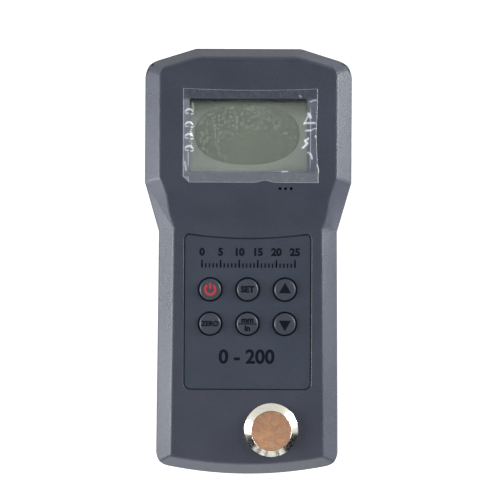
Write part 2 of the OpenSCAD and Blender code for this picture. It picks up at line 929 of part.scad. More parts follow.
// Round cap with a flange under the wall and a stem on its snap dome
module key(i) {
  radius = key_diameter/2;
  color([0.3, 0.32, 0.37]) translate(key_place(i)) rotate_extrude() {
    difference() {
      translate([0, flange_top]) square([radius, key_top - flange_top]);
      corner_rest(
        [radius - key_round, key_top - key_round], [radius, key_top - key_round],
        [radius - key_round, key_top], key_round
      );
    }
    translate([0, flange_top - flange_thickness]) square([flange_reach/2, flange_thickness]);
    translate([0, stem_low]) square([stem_diameter/2, flange_top - stem_low]);
  }
}

// Thin sprung shell on the board under a key
module dome(i) {
  half = dome_diameter/2;
  radius = (pow(half, 2) + pow(dome_height, 2))/(2*dome_height);
  color([0.75, 0.75, 0.76]) translate(key_place(i)) translate([0, 0, board_top]) intersection() {
    translate([0, 0, dome_height - radius]) difference() {
      sphere(radius);
      sphere(radius - dome_skin);
    }
    cylinder(r = half + dome_skin, h = dome_height + dome_skin);
  }
}

module buzzer() {
  color([0.1, 0.1, 0.11]) translate([sound_x, buzzer_y, board_top]) difference() {
    cylinder(d = buzzer_diameter, h = buzzer_height);
    translate([0, 0, buzzer_height/2]) cylinder(d = sound_hole*2, h = buzzer_height);
  }
}

module test_block() {
  color([0.66, 0.51, 0.41]) translate([block_x, block_y, grip_height + block_rise - block_thickness])
    cylinder(d = block_diameter, h = block_thickness);
}

// Turned ring with a conical face, a shoulder on the case and a shank through its wall
module block_ring() {
  color([0.82, 0.81, 0.78]) translate([block_x, block_y, grip_height]) rotate_extrude() polygon([
    [ring_bore/2, block_rise], [ring_bore/2, -shank_depth], [ring_shank/2, -shank_depth],
    [ring_shank/2, 0], [ring_diameter/2, 0], [ring_diameter/2, ring_edge]
  ]);
}

module block_clip() {
  color([0.6, 0.6, 0.6]) translate([block_x, block_y, face_low - clip_thickness]) difference() {
    cylinder(d = ring_shank + 2*washer_reach, h = clip_thickness);
    translate([0, 0, -over]) cylinder(d = ring_shank + seat_gap, h = clip_thickness + 2*over);
  }
}

module at_sockets() {
  for (side = [-1, 1]) translate([side*socket_spacing/2, 0, parting_height]) children();
}

module end_panel() {
  color([0.12, 0.12, 0.13]) difference() {
    box(
      [-panel_width/2 + seat_gap, panel_back, parting_height - panel_height/2],
      [panel_width/2 - seat_gap, panel_front - seat_gap/2, parting_height + panel_height/2]
    );
    at_sockets() translate([0, panel_back - over, 0])
      along_y(socket_diameter + 2*seat_gap, panel_thickness + 2*over);
  }
}

// Turned socket: flange behind the panel, body through it, and a stepped bore for the plug
module socket(side) {
  bore_low = socket_nose - socket_depth;
  tail_low = panel_back - tail_length;
  color([0.8, 0.78, 0.7]) translate([side*socket_spacing/2, 0, parting_height]) difference() {
    union() {
      translate([0, tail_low, 0]) along_y(socket_diameter - 2*seat_gap, tail_length);
      translate([0, panel_back - flange_depth, 0]) along_y(flange_diameter, flange_depth - seat_gap/2);
      translate([0, panel_back - flange_depth, 0])
        along_y(socket_diameter, socket_nose - panel_back + flange_depth);
    }
    translate([0, bore_low, 0]) along_y(socket_bore, socket_depth + over);
    translate([0, bore_low - insert_length, 0]) along_y(insert_diameter, insert_length + over);
  }
}

module socket_nuts() {
  color([0.78, 0.77, 0.72]) at_sockets() translate([0, panel_front, 0]) difference() {
    along_y(nut_width/cos(30), nut_thickness, 6);
    translate([0, -over, 0]) along_y(socket_diameter + seat_gap, nut_thickness + 2*over);
  }
}

// White insulators with the centre contact at the bottom of the bores
module socket_inserts() {
  color([0.93, 0.93, 0.9]) at_sockets()
    translate([0, socket_nose - socket_depth - insert_length + seat_gap/2, 0]) difference() {
      along_y(insert_diameter - seat_gap, insert_length - seat_gap/2);
      translate([0, insert_length/3, 0]) along_y(socket_pin, insert_length);
    }
}

// Screened lead from the tail of a socket up to the board
module lead(side) {
  tail_low = panel_back - tail_length - seat_gap/2;
  bend_y = tail_low - lead_straight;
  rise = board_low - parting_height - lead_bend;
  color([0.15, 0.15, 0.16]) translate([side*socket_spacing/2, 0, parting_height]) {
    translate([0, bend_y, 0]) along_y(lead_diameter, lead_straight);
    translate([0, bend_y, lead_bend]) rotate([0, -90, 0]) rotate([0, 0, 180]) rotate_extrude(angle = 90)
      translate([lead_bend, 0]) circle(d = lead_diameter);
    translate([0, bend_y - lead_bend, lead_bend]) cylinder(d = lead_diameter, h = rise);
  }
}

// A cell along Y with its button to one end
module cell(i) {
  low = button_up(i) ? bay_high - contact_thickness - seat_gap - cell_length
    : bay_low + contact_thickness + seat_gap + button_length;
  body = cell_length - button_length;
  button = button_up(i) ? low + body : low - button_length;
  color([0.2, 0.35, 0.5]) translate([cell_x(i), 0, cell_z]) {
    translate([0, low, 0]) along_y(cell_diameter, body);
    translate([0, button, 0]) along_y(button_diameter, button_length);
  }
}

// Rings of points round a wire that follows a conical coil
function coil_point(turn, base, tip, height, turns) =
  let (radius = base + (tip - base)*turn/turns, angle = 360*turn)
  [radius*cos(angle), radius*sin(angle), height*turn/turns];

function wire_ring(turn, base, tip, height, turns, wire, sides) =
  let (
    centre = coil_point(turn, base, tip, height, turns),
    outwards = [cos(360*turn), sin(360*turn), 0]
  )
  [for (k = [0:sides - 1]) centre + wire/2*(outwards*cos(360*k/sides) + [0, 0, 1]*sin(360*k/sides))];

module coil_spring(base, tip, height, turns, wire) {
  sides = 8;
  per_turn = 18;
  rings = turns*per_turn;
  points = [
    for (i = [0:rings]) each wire_ring(i/per_turn, base, tip, height, turns, wire, sides)
  ];
  skin = [
    for (i = [0:rings - 1]) for (k = [0:sides - 1])
      let (next = (k + 1) % sides)
      [i*sides + k, i*sides + next, (i + 1)*sides + next, (i + 1)*sides + k]
  ];
  first = [for (k = [sides - 1:-1:0]) k];
  last = [for (k = [0:sides - 1]) rings*sides + k];
  polyhedron(points, concat([first], skin, [last]));
}

// Conical contact spring on the plate at the flat end of a cell
module spring(i) {
  height = spring_length - spring_wire - 2*seat_gap;
  start = button_up(i) ? bay_low + contact_thickness : bay_high - contact_thickness;
  color([0.8, 0.8, 0.82]) translate([cell_x(i), start, cell_z])
    rotate([button_up(i) ? -90 : 90, 0, 0]) translate([0, 0, spring_wire/2 + seat_gap])
      coil_spring(spring_base/2, spring_tip/2, height, spring_turns, spring_wire);
}

// Contact plate against one end of the bay, over one cell or two
module contact_plate(first, last, y) {
  box(
    [cell_x(first) - contact_half, y, cell_z - contact_half],
    [cell_x(last) + contact_half, y + contact_thickness - seat_gap/2, cell_z + contact_half]
  );
}

module lower_bridge(first) {
  color([0.8, 0.8, 0.82]) contact_plate(first, first + 1, bay_low + seat_gap/2);
}

module bridge_upper() {
  color([0.8, 0.8, 0.82]) contact_plate(1, 2, bay_high - contact_thickness);
}

// Contact plate with a tab that runs up to the board
module terminal(i) {
  y = bay_high - contact_thickness;
  color([0.8, 0.8, 0.82]) {
    contact_plate(i, i, y);
    box(
      [cell_x(i) - tab_width/2, y, cell_z],
      [cell_x(i) + tab_width/2, y + contact_thickness - seat_gap/2, board_low]
    );
  }
}

// A chip under the board with its row of legs as one low block
module chip(place, size) {
  color([0.1, 0.1, 0.11]) translate([place[0], place[1], board_low]) mirror([0, 0, 1]) {
    translate([-size[0]/2, -size[1]/2, 0]) cube(size);
    translate([-size[0]/2 - chip_leg, -size[1]/2 + chip_leg, 0])
      cube([size[0] + 2*chip_leg, size[1] - 2*chip_leg, size[2]/3]);
  }
}

module controller_chip() {
  chip(controller_place, controller_size);
}

module signal_chip() {
  chip(signal_place, signal_size);
}

module crystal() {
  width = crystal_size[1];
  straight = crystal_size[0] - width;
  height = crystal_size[2];
  color([0.75, 0.75, 0.76]) translate([crystal_place[0], crystal_place[1], board_low - height])
    linear_extrude(height) {
      square([straight, width], center = true);
      for (side = [-1, 1]) translate([side*straight/2, 0]) circle(d = width);
    }
}

module pulse_coil() {
  edge = coil_diameter/2;
  waist = edge - coil_rim;
  color([0.12, 0.11, 0.11]) translate([coil_place[0], coil_place[1], board_low]) mirror([0, 0, 1])
    rotate_extrude() polygon([
      [0, 0], [edge, 0], [edge, coil_rim], [waist, coil_rim],
      [waist, coil_height - coil_rim], [edge, coil_height - coil_rim], [edge, coil_height], [0, coil_height]
    ]);
}

module case_screws() {
  color([0.6, 0.6, 0.62]) at_case_bosses() translate([0, 0, case_screw_seat]) difference() {
    union() {
      translate([0, 0, -case_head_height]) cylinder(d = case_screw_head, h = case_head_height);
      cylinder(d = case_screw, h = case_screw_length);
    }
    for (turn = [0, 90]) rotate(turn) translate([0, 0, -case_head_height])
      cube([slot_length, slot_width, case_head_height], center = true);
  }
}

module board_screws() {
  color([0.6, 0.6, 0.62]) at_board_posts() {
    translate([0, 0, board_low - board_screw_head_height])
      cylinder(d = board_screw_head, h = board_screw_head_height);
    translate([0, 0, board_low - over])
      cylinder(d = board_screw, h = board_thickness + screw_bite + over);
  }
}

front_shell();
rear_shell();
battery_door();
display_window();
screen_film();
lcd_panel();
lcd_frame();
backlight();
contact_strips();
main_board();
keypad_panel();
for (i = [0:len(key_names) - 1]) {
  key(i);
  dome(i);
}
buzzer();
test_block();
block_ring();
block_clip();
end_panel();
socket(-1);  // socket_send
socket(1);  // socket_receive
socket_nuts();
socket_inserts();
lead(-1);  // lead_send
lead(1);  // lead_receive
for (i = [0:cell_count - 1]) {
  cell(i);
  spring(i);
}
lower_bridge(0);  // bridge_lower_left
lower_bridge(2);  // bridge_lower_right
bridge_upper();
terminal(0);  // terminal_plus
terminal(cell_count - 1);  // terminal_minus
controller_chip();
signal_chip();
crystal();
pulse_coil();
case_screws();
board_screws();
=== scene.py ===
"""Looks of a hand-held ultrasonic thickness gauge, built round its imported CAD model.

All lengths are metres in the model's own frame: the gauge lies on its back, the display head
points along +Y and the face looks along +Z.
"""

from __future__ import annotations

import logging
import math
from collections.abc import Callable, Sequence
from dataclasses import dataclass, field
from enum import Enum
from itertools import pairwise
from typing import Any

import bmesh
import bpy
import numpy as np
from bpy.types import Material, Node, NodeSocket, NodeTree, Object
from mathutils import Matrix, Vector

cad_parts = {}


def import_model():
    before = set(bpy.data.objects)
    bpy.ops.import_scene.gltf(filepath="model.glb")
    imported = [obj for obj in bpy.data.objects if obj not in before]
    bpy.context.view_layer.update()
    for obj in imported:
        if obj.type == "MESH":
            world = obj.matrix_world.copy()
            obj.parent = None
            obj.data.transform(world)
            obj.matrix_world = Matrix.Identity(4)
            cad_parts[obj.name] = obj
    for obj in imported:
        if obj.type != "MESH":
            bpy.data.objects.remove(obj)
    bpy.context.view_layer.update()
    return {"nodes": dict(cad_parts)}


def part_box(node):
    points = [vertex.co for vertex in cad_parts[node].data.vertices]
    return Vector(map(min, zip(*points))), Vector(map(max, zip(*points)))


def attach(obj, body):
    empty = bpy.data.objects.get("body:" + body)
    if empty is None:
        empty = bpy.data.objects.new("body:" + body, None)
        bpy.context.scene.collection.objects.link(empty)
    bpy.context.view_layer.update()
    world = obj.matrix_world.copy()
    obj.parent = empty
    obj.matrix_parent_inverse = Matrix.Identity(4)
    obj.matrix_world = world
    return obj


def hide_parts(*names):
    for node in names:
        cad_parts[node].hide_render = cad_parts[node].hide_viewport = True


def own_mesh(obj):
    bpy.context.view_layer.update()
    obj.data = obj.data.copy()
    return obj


LOG = logging.getLogger("gauge")
MM = 0.001
CASE = "case"
DOOR = "door"

LEVEL = 0.95
UPRIGHT = 0.05
WHITE = (1.0, 1.0, 1.0, 1.0)

Colour = tuple[float, float, float, float]
Point = tuple[float, float]
Spot = tuple[float, float, float]
EdgeWidth = Callable[[bmesh.types.BMEdge], float]


def srgb(red: int, green: int, blue: int) -> Colour:
    """Turn a screen colour into the linear colour that shaders take.

    Args:
        red: Red from 0 to 255.
        green: Green from 0 to 255.
        blue: Blue from 0 to 255.

    Returns:
        Linear red, green, blue and an alpha of one.
    """
    parts = [value / 255 for value in (red, green, blue)]
    linear = [p / 12.92 if p <= 0.04045 else ((p + 0.055) / 1.055) ** 2.4 for p in parts]
    return (linear[0], linear[1], linear[2], 1.0)


class Bench:
    """Modelling operators on one object at a time."""

    MERGE = 1e-6
    WEIGHT = "bevel_weight_edge"
    SMOOTH_ANGLE = math.radians(32)
    FLAT_ANGLE = math.radians(0.5)
    FACE_WEIGHT = 90
    LETTER_STEPS = 4

    @staticmethod
    def clear() -> None:
        """Leave edit mode and deselect every object."""
        if bpy.context.mode != "OBJECT":
            bpy.ops.object.mode_set(mode="OBJECT")
        bpy.ops.object.select_all(action="DESELECT")

    @staticmethod
    def take(obj: Object) -> Object:
        """Select one object alone, make it active and return it.

        Args:
            obj: Piece to work on.

        Returns:
            The same piece.
        """
        Bench.clear()
        obj.select_set(True)
        bpy.context.view_layer.objects.active = obj
        return obj

    @staticmethod
    def named(name: str) -> Object:
        """Name the object that an operator has just added, and return it.

        Args:
            name: Name of the object and of its mesh.

        Returns:
            The object.
        """
        obj = bpy.context.object
        obj.name = name
        obj.data.name = name
        return obj

    @staticmethod
    def settle(obj: Object) -> Object:
        """Put an object's place, turn and scale into its mesh.

        Args:
            obj: Piece to work on.

        Returns:
            The same piece.
        """
        Bench.take(obj)
        bpy.ops.object.transform_apply(location=True, rotation=True, scale=True)
        return obj

    @staticmethod
    def place(obj: Object, spot: Sequence[float], turn: Sequence[float] = (0, 0, 0)) -> Object:
        """Turn a mesh about the frame's origin, then move it to a spot.

        Args:
            obj: Piece modelled at the origin.
            spot: Where its origin goes.
            turn: Turn about X, Y and Z in degrees.

        Returns:
            The same piece, with its place in its mesh.
        """
        obj.location = spot
        obj.rotation_euler = [math.radians(angle) for angle in turn]
        return Bench.settle(obj)

    @staticmethod
    def open_up(obj: Object) -> None:
        """Enter edit mode on an object with nothing selected.

        Args:
            obj: Piece to work on.
        """
        Bench.take(obj)
        bpy.ops.object.mode_set(mode="EDIT")
        bpy.ops.mesh.select_all(action="DESELECT")

    @staticmethod
    def tidy(obj: Object) -> Object:
        """Merge doubles, turn all faces outwards and shade the mesh by its angles.

        Args:
            obj: Piece to work on.

        Returns:
            The same piece.
        """
        Bench.open_up(obj)
        bpy.ops.mesh.select_all(action="SELECT")
        bpy.ops.mesh.remove_doubles(threshold=Bench.MERGE)
        bpy.ops.mesh.normals_make_consistent(inside=False)
        bpy.ops.object.mode_set(mode="OBJECT")
        bpy.ops.object.shade_smooth_by_angle(angle=Bench.SMOOTH_ANGLE)
        return obj

    @staticmethod
    def modify(obj: Object, kind: str, **settings: Any) -> Object:
        """Add a modifier to an object and apply it.

        Args:
            obj: Object to change.
            kind: Blender's name of the modifier type.
            settings: The modifier's own settings.

        Returns:
            The same object.
        """
        Bench.take(obj)
        bpy.ops.object.modifier_add(type=kind)
        modifier = obj.modifiers[-1]
        for name, value in settings.items():
            setattr(modifier, name, value)
        bpy.ops.object.modifier_apply(modifier=modifier.name)
        return obj

    @staticmethod
    def join(name: str, parts: Sequence[Object]) -> Object:
        """Join several meshes into one named object.

        Args:
            name: Name of the joined piece.
            parts: Meshes that go into it.

        Returns:
            The joined piece.
        """
        Bench.clear()
        for part in parts:
            part.select_set(True)
        bpy.context.view_layer.objects.active = parts[0]
        bpy.ops.object.join()
        return Bench.named(name)

    @staticmethod
    def twin(obj: Object, name: str) -> Object:
        """Copy an object with a mesh of its own.

        Args:
            obj: Piece that is copied.
            name: Name of the copy.

        Returns:
            The copy.
        """
        Bench.take(obj)
        bpy.ops.object.duplicate(linked=False)
        return Bench.named(name)

    @staticmethod
    def turn(name: str, profile: Sequence[Point], bored: bool = False, sides: int = 96) -> Object:
        """Turn a section round the frame's Z axis, as on a lathe.

        Args:
            name: Name of the new piece.
            profile: Radius and height of each ring along the section.
            bored: True where the section closes on itself round a bore, and False for a solid
                that is capped at both ends.
            sides: Number of steps round the axis.

        Returns:
            The turned piece.
        """
        Bench.clear()
        radius, height = profile[0]
        bpy.ops.mesh.primitive_circle_add(
            vertices=sides,
            radius=radius,
            fill_type="NOTHING" if bored else "NGON",
            location=(0, 0, height),
        )
        obj = Bench.settle(Bench.named(name))
        bpy.ops.object.mode_set(mode="EDIT")
        bpy.ops.mesh.select_all(action="SELECT")
        rings = [*profile, profile[0]] if bored else profile
        for (radius, height), (next_radius, next_height) in pairwise(rings):
            rise = (0, 0, next_height - height)
            bpy.ops.mesh.extrude_region_move(TRANSFORM_OT_translate={"value": rise})
            scale = next_radius / radius
            bpy.ops.transform.resize(value=(scale, scale, 1), center_override=(0, 0, next_height))
        return Bench.shade(Bench.tidy(obj))

    @staticmethod
    def shade(obj: Object) -> Object:
        """Shade a mesh by its angles, with the large faces kept flat.

        Args:
            obj: Piece to work on.

        Returns:
            The same piece.
        """
        Bench.take(obj)
        bpy.ops.object.shade_smooth_by_angle(angle=Bench.SMOOTH_ANGLE)
        return Bench.modify(obj, "WEIGHTED_NORMAL", keep_sharp=True, weight=Bench.FACE_WEIGHT)

    @staticmethod
    def copy_node(node: Object, name: str) -> Object:
        """Copy a CAD node's mesh, merged and with its flat faces joined.

        Args:
            node: CAD node that is copied.
            name: Name of the new piece.

        Returns:
            The new piece.
        """
        obj = bpy.data.objects.new(name, node.data.copy())
        obj.data.name = name
        bpy.context.scene.collection.objects.link(obj)
        Bench.open_up(obj)
        bpy.ops.mesh.customdata_custom_splitnormals_clear()
        bpy.ops.mesh.select_all(action="SELECT")
        bpy.ops.mesh.remove_doubles(threshold=Bench.MERGE)
        bpy.ops.mesh.dissolve_limited(angle_limit=Bench.FLAT_ANGLE)
        bpy.ops.object.mode_set(mode="OBJECT")
        return obj

    @staticmethod
    def ease_edges(obj: Object, width_of: EdgeWidth, widest: float, steps: int = 2) -> Object:
        """Round the edges of a mesh, each by a width of its own, and shade it.

        Args:
            obj: Piece to change.
            width_of: Gives the width of an edge's rounding, or 0 to leave it sharp.
            widest: The greatest width that it gives.
            steps: Number of faces across a rounding.

        Returns:
            The same piece.
        """
        mesh = bmesh.new()
        mesh.from_mesh(obj.data)
        mesh.normal_update()
        weight = mesh.edges.layers.float.new(Bench.WEIGHT)
        for edge in mesh.edges:
            if len(edge.link_faces) == 2:
                edge[weight] = width_of(edge) / widest
        mesh.to_mesh(obj.data)
        mesh.free()
        Bench.modify(
            obj, "BEVEL", limit_method="WEIGHT", width=widest, offset_type="OFFSET", segments=steps,
            use_clamp_overlap=False, loop_slide=True, miter_outer="MITER_SHARP",
        )
        obj.data.attributes.remove(obj.data.attributes[Bench.WEIGHT])
        return Bench.shade(obj)

    @staticmethod
    def letter(text: str, size: float, weight: float, depth: float) -> Object:
        """Make plain lettering as a mesh, centred on the origin.

        Args:
            text: What it reads.
            size: Height of the letters' body.
            weight: How far the strokes are thickened on each side.
            depth: Thickness of the print.

        Returns:
            The lettering.
        """
        Bench.clear()
        bpy.ops.object.text_add()
        curve = bpy.context.object.data
        curve.body = text
        curve.size = size
        curve.offset = weight
        curve.extrude = depth / 2
        curve.resolution_u = Bench.LETTER_STEPS
        curve.align_x = "CENTER"
        curve.align_y = "CENTER"
        bpy.ops.object.convert(target="MESH")
        return Bench.tidy(Bench.named("lettering"))

    @staticmethod
    def bar(width: float, height: float, depth: float) -> Object:
        """Make a flat printed bar with softened corners, centred on the origin.

        Args:
            width: Size along X.
            height: Size along Y.
            depth: Thickness of the print.

        Returns:
            The bar.
        """
        Bench.clear()
        bpy.ops.mesh.primitive_plane_add(size=1)
        obj = Bench.named("bar")
        obj.scale = (width, height, 1)
        Bench.settle(obj)
        return Bench.thicken(obj, depth, min(width, height) / 4, 2)

    @staticmethod
    def thicken(obj: Object, depth: float, corner: float = 0.0, steps: int = 1) -> Object:
        """Round the corners of a flat print and give it its depth, half of it each way.

        Args:
            obj: The flat print.
            depth: Thickness of the print.
            corner: How far its corners are cut back.
            steps: Number of edges across a corner.

        Returns:
            The same print.
        """
        Bench.open_up(obj)
        bpy.ops.mesh.select_all(action="SELECT")
        if corner:
            bpy.ops.mesh.bevel(offset=corner, segments=steps, affect="VERTICES")
        bpy.ops.mesh.extrude_region_move(TRANSFORM_OT_translate={"value": (0, 0, depth)})
        bpy.ops.object.mode_set(mode="OBJECT")
        return Bench.place(Bench.tidy(obj), (0, 0, -depth / 2))


def arc(centre: Point, radius: float, start: float, end: float, steps: int) -> list[Point]:
    """Points along an arc of a section.

    Args:
        centre: Centre of the arc.
        radius: Radius of the arc.
        start: First angle in degrees, with 0 outwards and 90 upwards.
        end: Last angle in degrees.
        steps: Number of steps along the arc.

    Returns:
        The points, both ends included.
    """
    angles = [math.radians(start + (end - start) * i / steps) for i in range(steps + 1)]
    return [(centre[0] + radius * math.cos(a), centre[1] + radius * math.sin(a)) for a in angles]


class Graph:
    """Adds and links the nodes of one node tree."""

    LOW_ANGLE = (0.52, 0.68)
    UNIT = (0.0, 1.0)

    def __init__(self, tree: NodeTree) -> None:
        """Start on a tree."""
        self.tree = tree

    def add(self, kind: str, inputs: dict[Any, Any] | None = None, **settings: Any) -> Node:
        """Add a node.

        Args:
            kind: Blender's name of the node type.
            inputs: Value or source socket for each input, by name or number.
            settings: The node's own settings.

        Returns:
            The new node.
        """
        node = self.tree.nodes.new(kind)
        for name, value in settings.items():
            setattr(node, name, value)
        for name, value in (inputs or {}).items():
            if isinstance(value, NodeSocket):
                self.tree.links.new(value, node.inputs[name])
            else:
                node.inputs[name].default_value = value
        return node

    def math(self, operation: str, first: Any, second: Any = 0.0, clamp: bool = False) -> NodeSocket:
        """Add a sum on two numbers and return its result."""
        node = self.add("ShaderNodeMath", {0: first, 1: second}, operation=operation, use_clamp=clamp)
        return node.outputs[0]

    def vector(self, operation: str, first: Any, second: Any = (0, 0, 0)) -> Node:
        """Add a sum on two vectors and return its node."""
        return self.add("ShaderNodeVectorMath", {0: first, 1: second}, operation=operation)

    def along(self, vector: NodeSocket, axis: str) -> NodeSocket:
        """One coordinate of a vector."""
        return self.add("ShaderNodeSeparateXYZ", {0: vector}).outputs[axis]

    def mix(self, factor: Any, first: Any, second: Any) -> NodeSocket:
        """Mix two colours by a factor and return the result."""
        inputs = {0: factor, 6: first, 7: second}
        return self.add("ShaderNodeMix", inputs, data_type="RGBA").outputs[2]

    def blend(self, factor: Any, first: NodeSocket, second: NodeSocket) -> NodeSocket:
        """Mix two shaders by a factor and return the result."""
        return self.add("ShaderNodeMixShader", {0: factor, 1: first, 2: second}).outputs[0]

    def shader(self, kind: str, **inputs: Any) -> NodeSocket:
        """Add a shader, with _ for a space in the names of its inputs, and return its result."""
        named = {name.replace("_", " "): value for name, value in inputs.items()}
        return self.add(f"ShaderNode{kind}", named).outputs[0]

    def span(self, value: NodeSocket, source: Point, target: Point, smooth: bool = False) -> NodeSocket:
        """Map a number from one range to another, clamped, and return the result.

        Args:
            value: Number that is mapped.
            source: Range that it comes from.
            target: Range that it goes to.
            smooth: True for a soft start and end.

        Returns:
            The mapped number.
        """
        inputs = {0: value, 1: source[0], 2: source[1], 3: target[0], 4: target[1]}
        kind = "SMOOTHSTEP" if smooth else "LINEAR"
        return self.add("ShaderNodeMapRange", inputs, interpolation_type=kind).outputs[0]

    def coordinates(self, centre: Spot = (0, 0, 0), turn: Spot = (0, 0, 0)) -> NodeSocket:
        """Object coordinates, centred and turned to suit a pattern.

        Args:
            centre: Place that becomes the pattern's origin.
            turn: Turn of the pattern in degrees.

        Returns:
            The vector socket.
        """
        source = self.add("ShaderNodeTexCoord").outputs["Object"]
        inputs = {
            "Vector": source,
            "Location": centre,
            "Rotation": tuple(math.radians(angle) for angle in turn),
        }
        return self.add("ShaderNodeMapping", inputs, vector_type="TEXTURE").outputs[0]

    def noise(self, vector: NodeSocket, size: Any, detail: float = 2.0, rough: float = 0.5) -> NodeSocket:
        """Add noise of a feature size in metres, and return its value.

        Args:
            vector: Where the noise is read.
            size: Size of its features.
            detail: Number of finer layers.
            rough: Share of each finer layer.

        Returns:
            The noise, from 0 to 1.
        """
        scale = self.math("DIVIDE", 1.0, size) if isinstance(size, NodeSocket) else 1 / size
        inputs = {"Vector": vector, "Scale": scale, "Detail": detail, "Roughness": rough}
        return self.add("ShaderNodeTexNoise", inputs).outputs[0]

    def dulled(self, shine: float) -> NodeSocket:
        """Shine that fades out where a rough face is seen at a low angle."""
        facing = self.add("ShaderNodeLayerWeight", {"Blend": 0.5}).outputs["Facing"]
        return self.span(facing, self.LOW_ANGLE, (shine, 0.0), smooth=True)

    def attribute(self, name: str) -> NodeSocket:
        """A mask that the mesh carries."""
        return self.add("ShaderNodeAttribute", attribute_name=name).outputs["Fac"]

    def bump(self, height: NodeSocket, depth: float, strength: float = 1.0) -> NodeSocket:
        """Turn a height of 0 to 1 into a normal, for a relief of a depth in metres."""
        inputs = {"Height": height, "Distance": depth, "Strength": strength}
        return self.add("ShaderNodeBump", inputs).outputs[0]


@dataclass(frozen=True)
class Effect:
    """A shader node group that several finishes share."""

    name: str
    sizes: tuple[str, ...]
    outputs: tuple[str, ...]

    def tree(self) -> NodeTree:
        """Return the group, built on first use.

        Returns:
            The group's node tree.
        """
        made = bpy.data.node_groups.get(self.name)
        if made is None:
            made = bpy.data.node_groups.new(self.name, "ShaderNodeTree")
            made.interface.new_socket("Vector", in_out="INPUT", socket_type="NodeSocketVector")
            for name in self.sizes:
                made.interface.new_socket(name, in_out="INPUT", socket_type="NodeSocketFloat")
            for name in self.outputs:
                made.interface.new_socket(name, in_out="OUTPUT", socket_type="NodeSocketFloat")
            graph = Graph(made)
            source = graph.add("NodeGroupInput")
            graph.add("NodeGroupOutput", dict(zip(self.outputs, self.wire(graph, source))))
        return made

    def wire(self, graph: Graph, source: Node) -> list[NodeSocket]:
        """Build the group's nodes and return one socket for each output."""
        raise NotImplementedError

    def use(self, graph: Graph, **values: Any) -> Node:
        """Place the group in a material.

        Args:
            graph: Graph of the material.
            values: Value or source for each input, with _ for a space.

        Returns:
            The group node.
        """
        inputs = {name.replace("_", " "): value for name, value in values.items()}
        return graph.add("ShaderNodeGroup", inputs, node_tree=self.tree())


class MouldedGrain(Effect):
    """Spark-eroded grain of a moulded face, with a slow drift of tone."""

    FINE_SIZE = 0.45
    FINE_SHARE = 0.4
    PATCH_SPAN = (0.3, 0.7)

    def wire(self, graph: Graph, source: Node) -> list[NodeSocket]:
        """Mix a coarse and a fine grain, and add broad soft patches.

        Args:
            graph: Graph of the group.
            source: Node with the group's inputs.

        Returns:
            One socket for each output.
        """
        vector = source.outputs["Vector"]
        size = source.outputs["Grain Size"]
        coarse = graph.noise(vector, size, 1.0, 0.4)
        fine = graph.noise(vector, graph.math("MULTIPLY", size, self.FINE_SIZE), 2.0, 0.6)
        coarse = graph.math("MULTIPLY", coarse, 1 - self.FINE_SHARE)
        grain = graph.math("ADD", coarse, graph.math("MULTIPLY", fine, self.FINE_SHARE))
        patches = graph.noise(vector, source.outputs["Patch Size"], 3.0, 0.55)
        return [grain, graph.span(patches, self.PATCH_SPAN, graph.UNIT)]


class TurnedMarks(Effect):
    """Fine rings that a lathe tool leaves round an axis along Z."""

    DRIFT_SIZE = 2.5 * MM
    DRIFT_SHARE = 0.2
    SPAN = (0.25, 0.75)

    def wire(self, graph: Graph, source: Node) -> list[NodeSocket]:
        """Draw noise over the distance from the axis, broken up a little along each ring.

        Args:
            graph: Graph of the group.
            source: Node with the group's inputs.

        Returns:
            One socket for each output.
        """
        vector = source.outputs["Vector"]
        flat = graph.vector("MULTIPLY", vector, (1, 1, 0)).outputs[0]
        radius = graph.vector("LENGTH", flat).outputs["Value"]
        along = graph.math("DIVIDE", radius, source.outputs["Pitch"])
        inputs = {"W": along, "Scale": 1.0, "Detail": 3.0, "Roughness": 0.65}
        rings = graph.add("ShaderNodeTexNoise", inputs, noise_dimensions="1D").outputs[0]
        rings = graph.math("MULTIPLY", rings, 1 - self.DRIFT_SHARE)
        drift = graph.math("MULTIPLY", graph.noise(vector, self.DRIFT_SIZE), self.DRIFT_SHARE)
        return [graph.span(graph.math("ADD", rings, drift), self.SPAN, graph.UNIT)]


class FineScratches(Effect):
    """Short straight rubbing marks that cross each other at several angles."""

    TURNS = (12, 71, 128, 163)
    STRETCH = 16
    CREST = (0.6, 0.72)

    def wire(self, graph: Graph, source: Node) -> list[NodeSocket]:
        """Lay stretched noise at several turns and keep its thin crests.

        Args:
            graph: Graph of the group.
            source: Node with the group's inputs.

        Returns:
            One socket for each output.
        """
        total: Any = 0.0
        for turn in self.TURNS:
            inputs = {
                "Vector": source.outputs["Vector"],
                "Rotation": (0, 0, math.radians(turn)),
                "Scale": (1.0, 1 / self.STRETCH, 1.0),
            }
            vector = graph.add("ShaderNodeMapping", inputs, vector_type="TEXTURE").outputs[0]
            streak = graph.noise(vector, source.outputs["Length"], 1.0)
            total = graph.math("MAXIMUM", total, graph.span(streak, self.CREST, graph.UNIT))
        return [total]


GRAIN = MouldedGrain("Moulded grain", ("Grain Size", "Patch Size"), ("Height", "Tone"))
MARKS = TurnedMarks("Turned marks", ("Pitch",), ("Height",))
SCRATCHES = FineScratches("Fine scratches", ("Length",), ("Mask",))


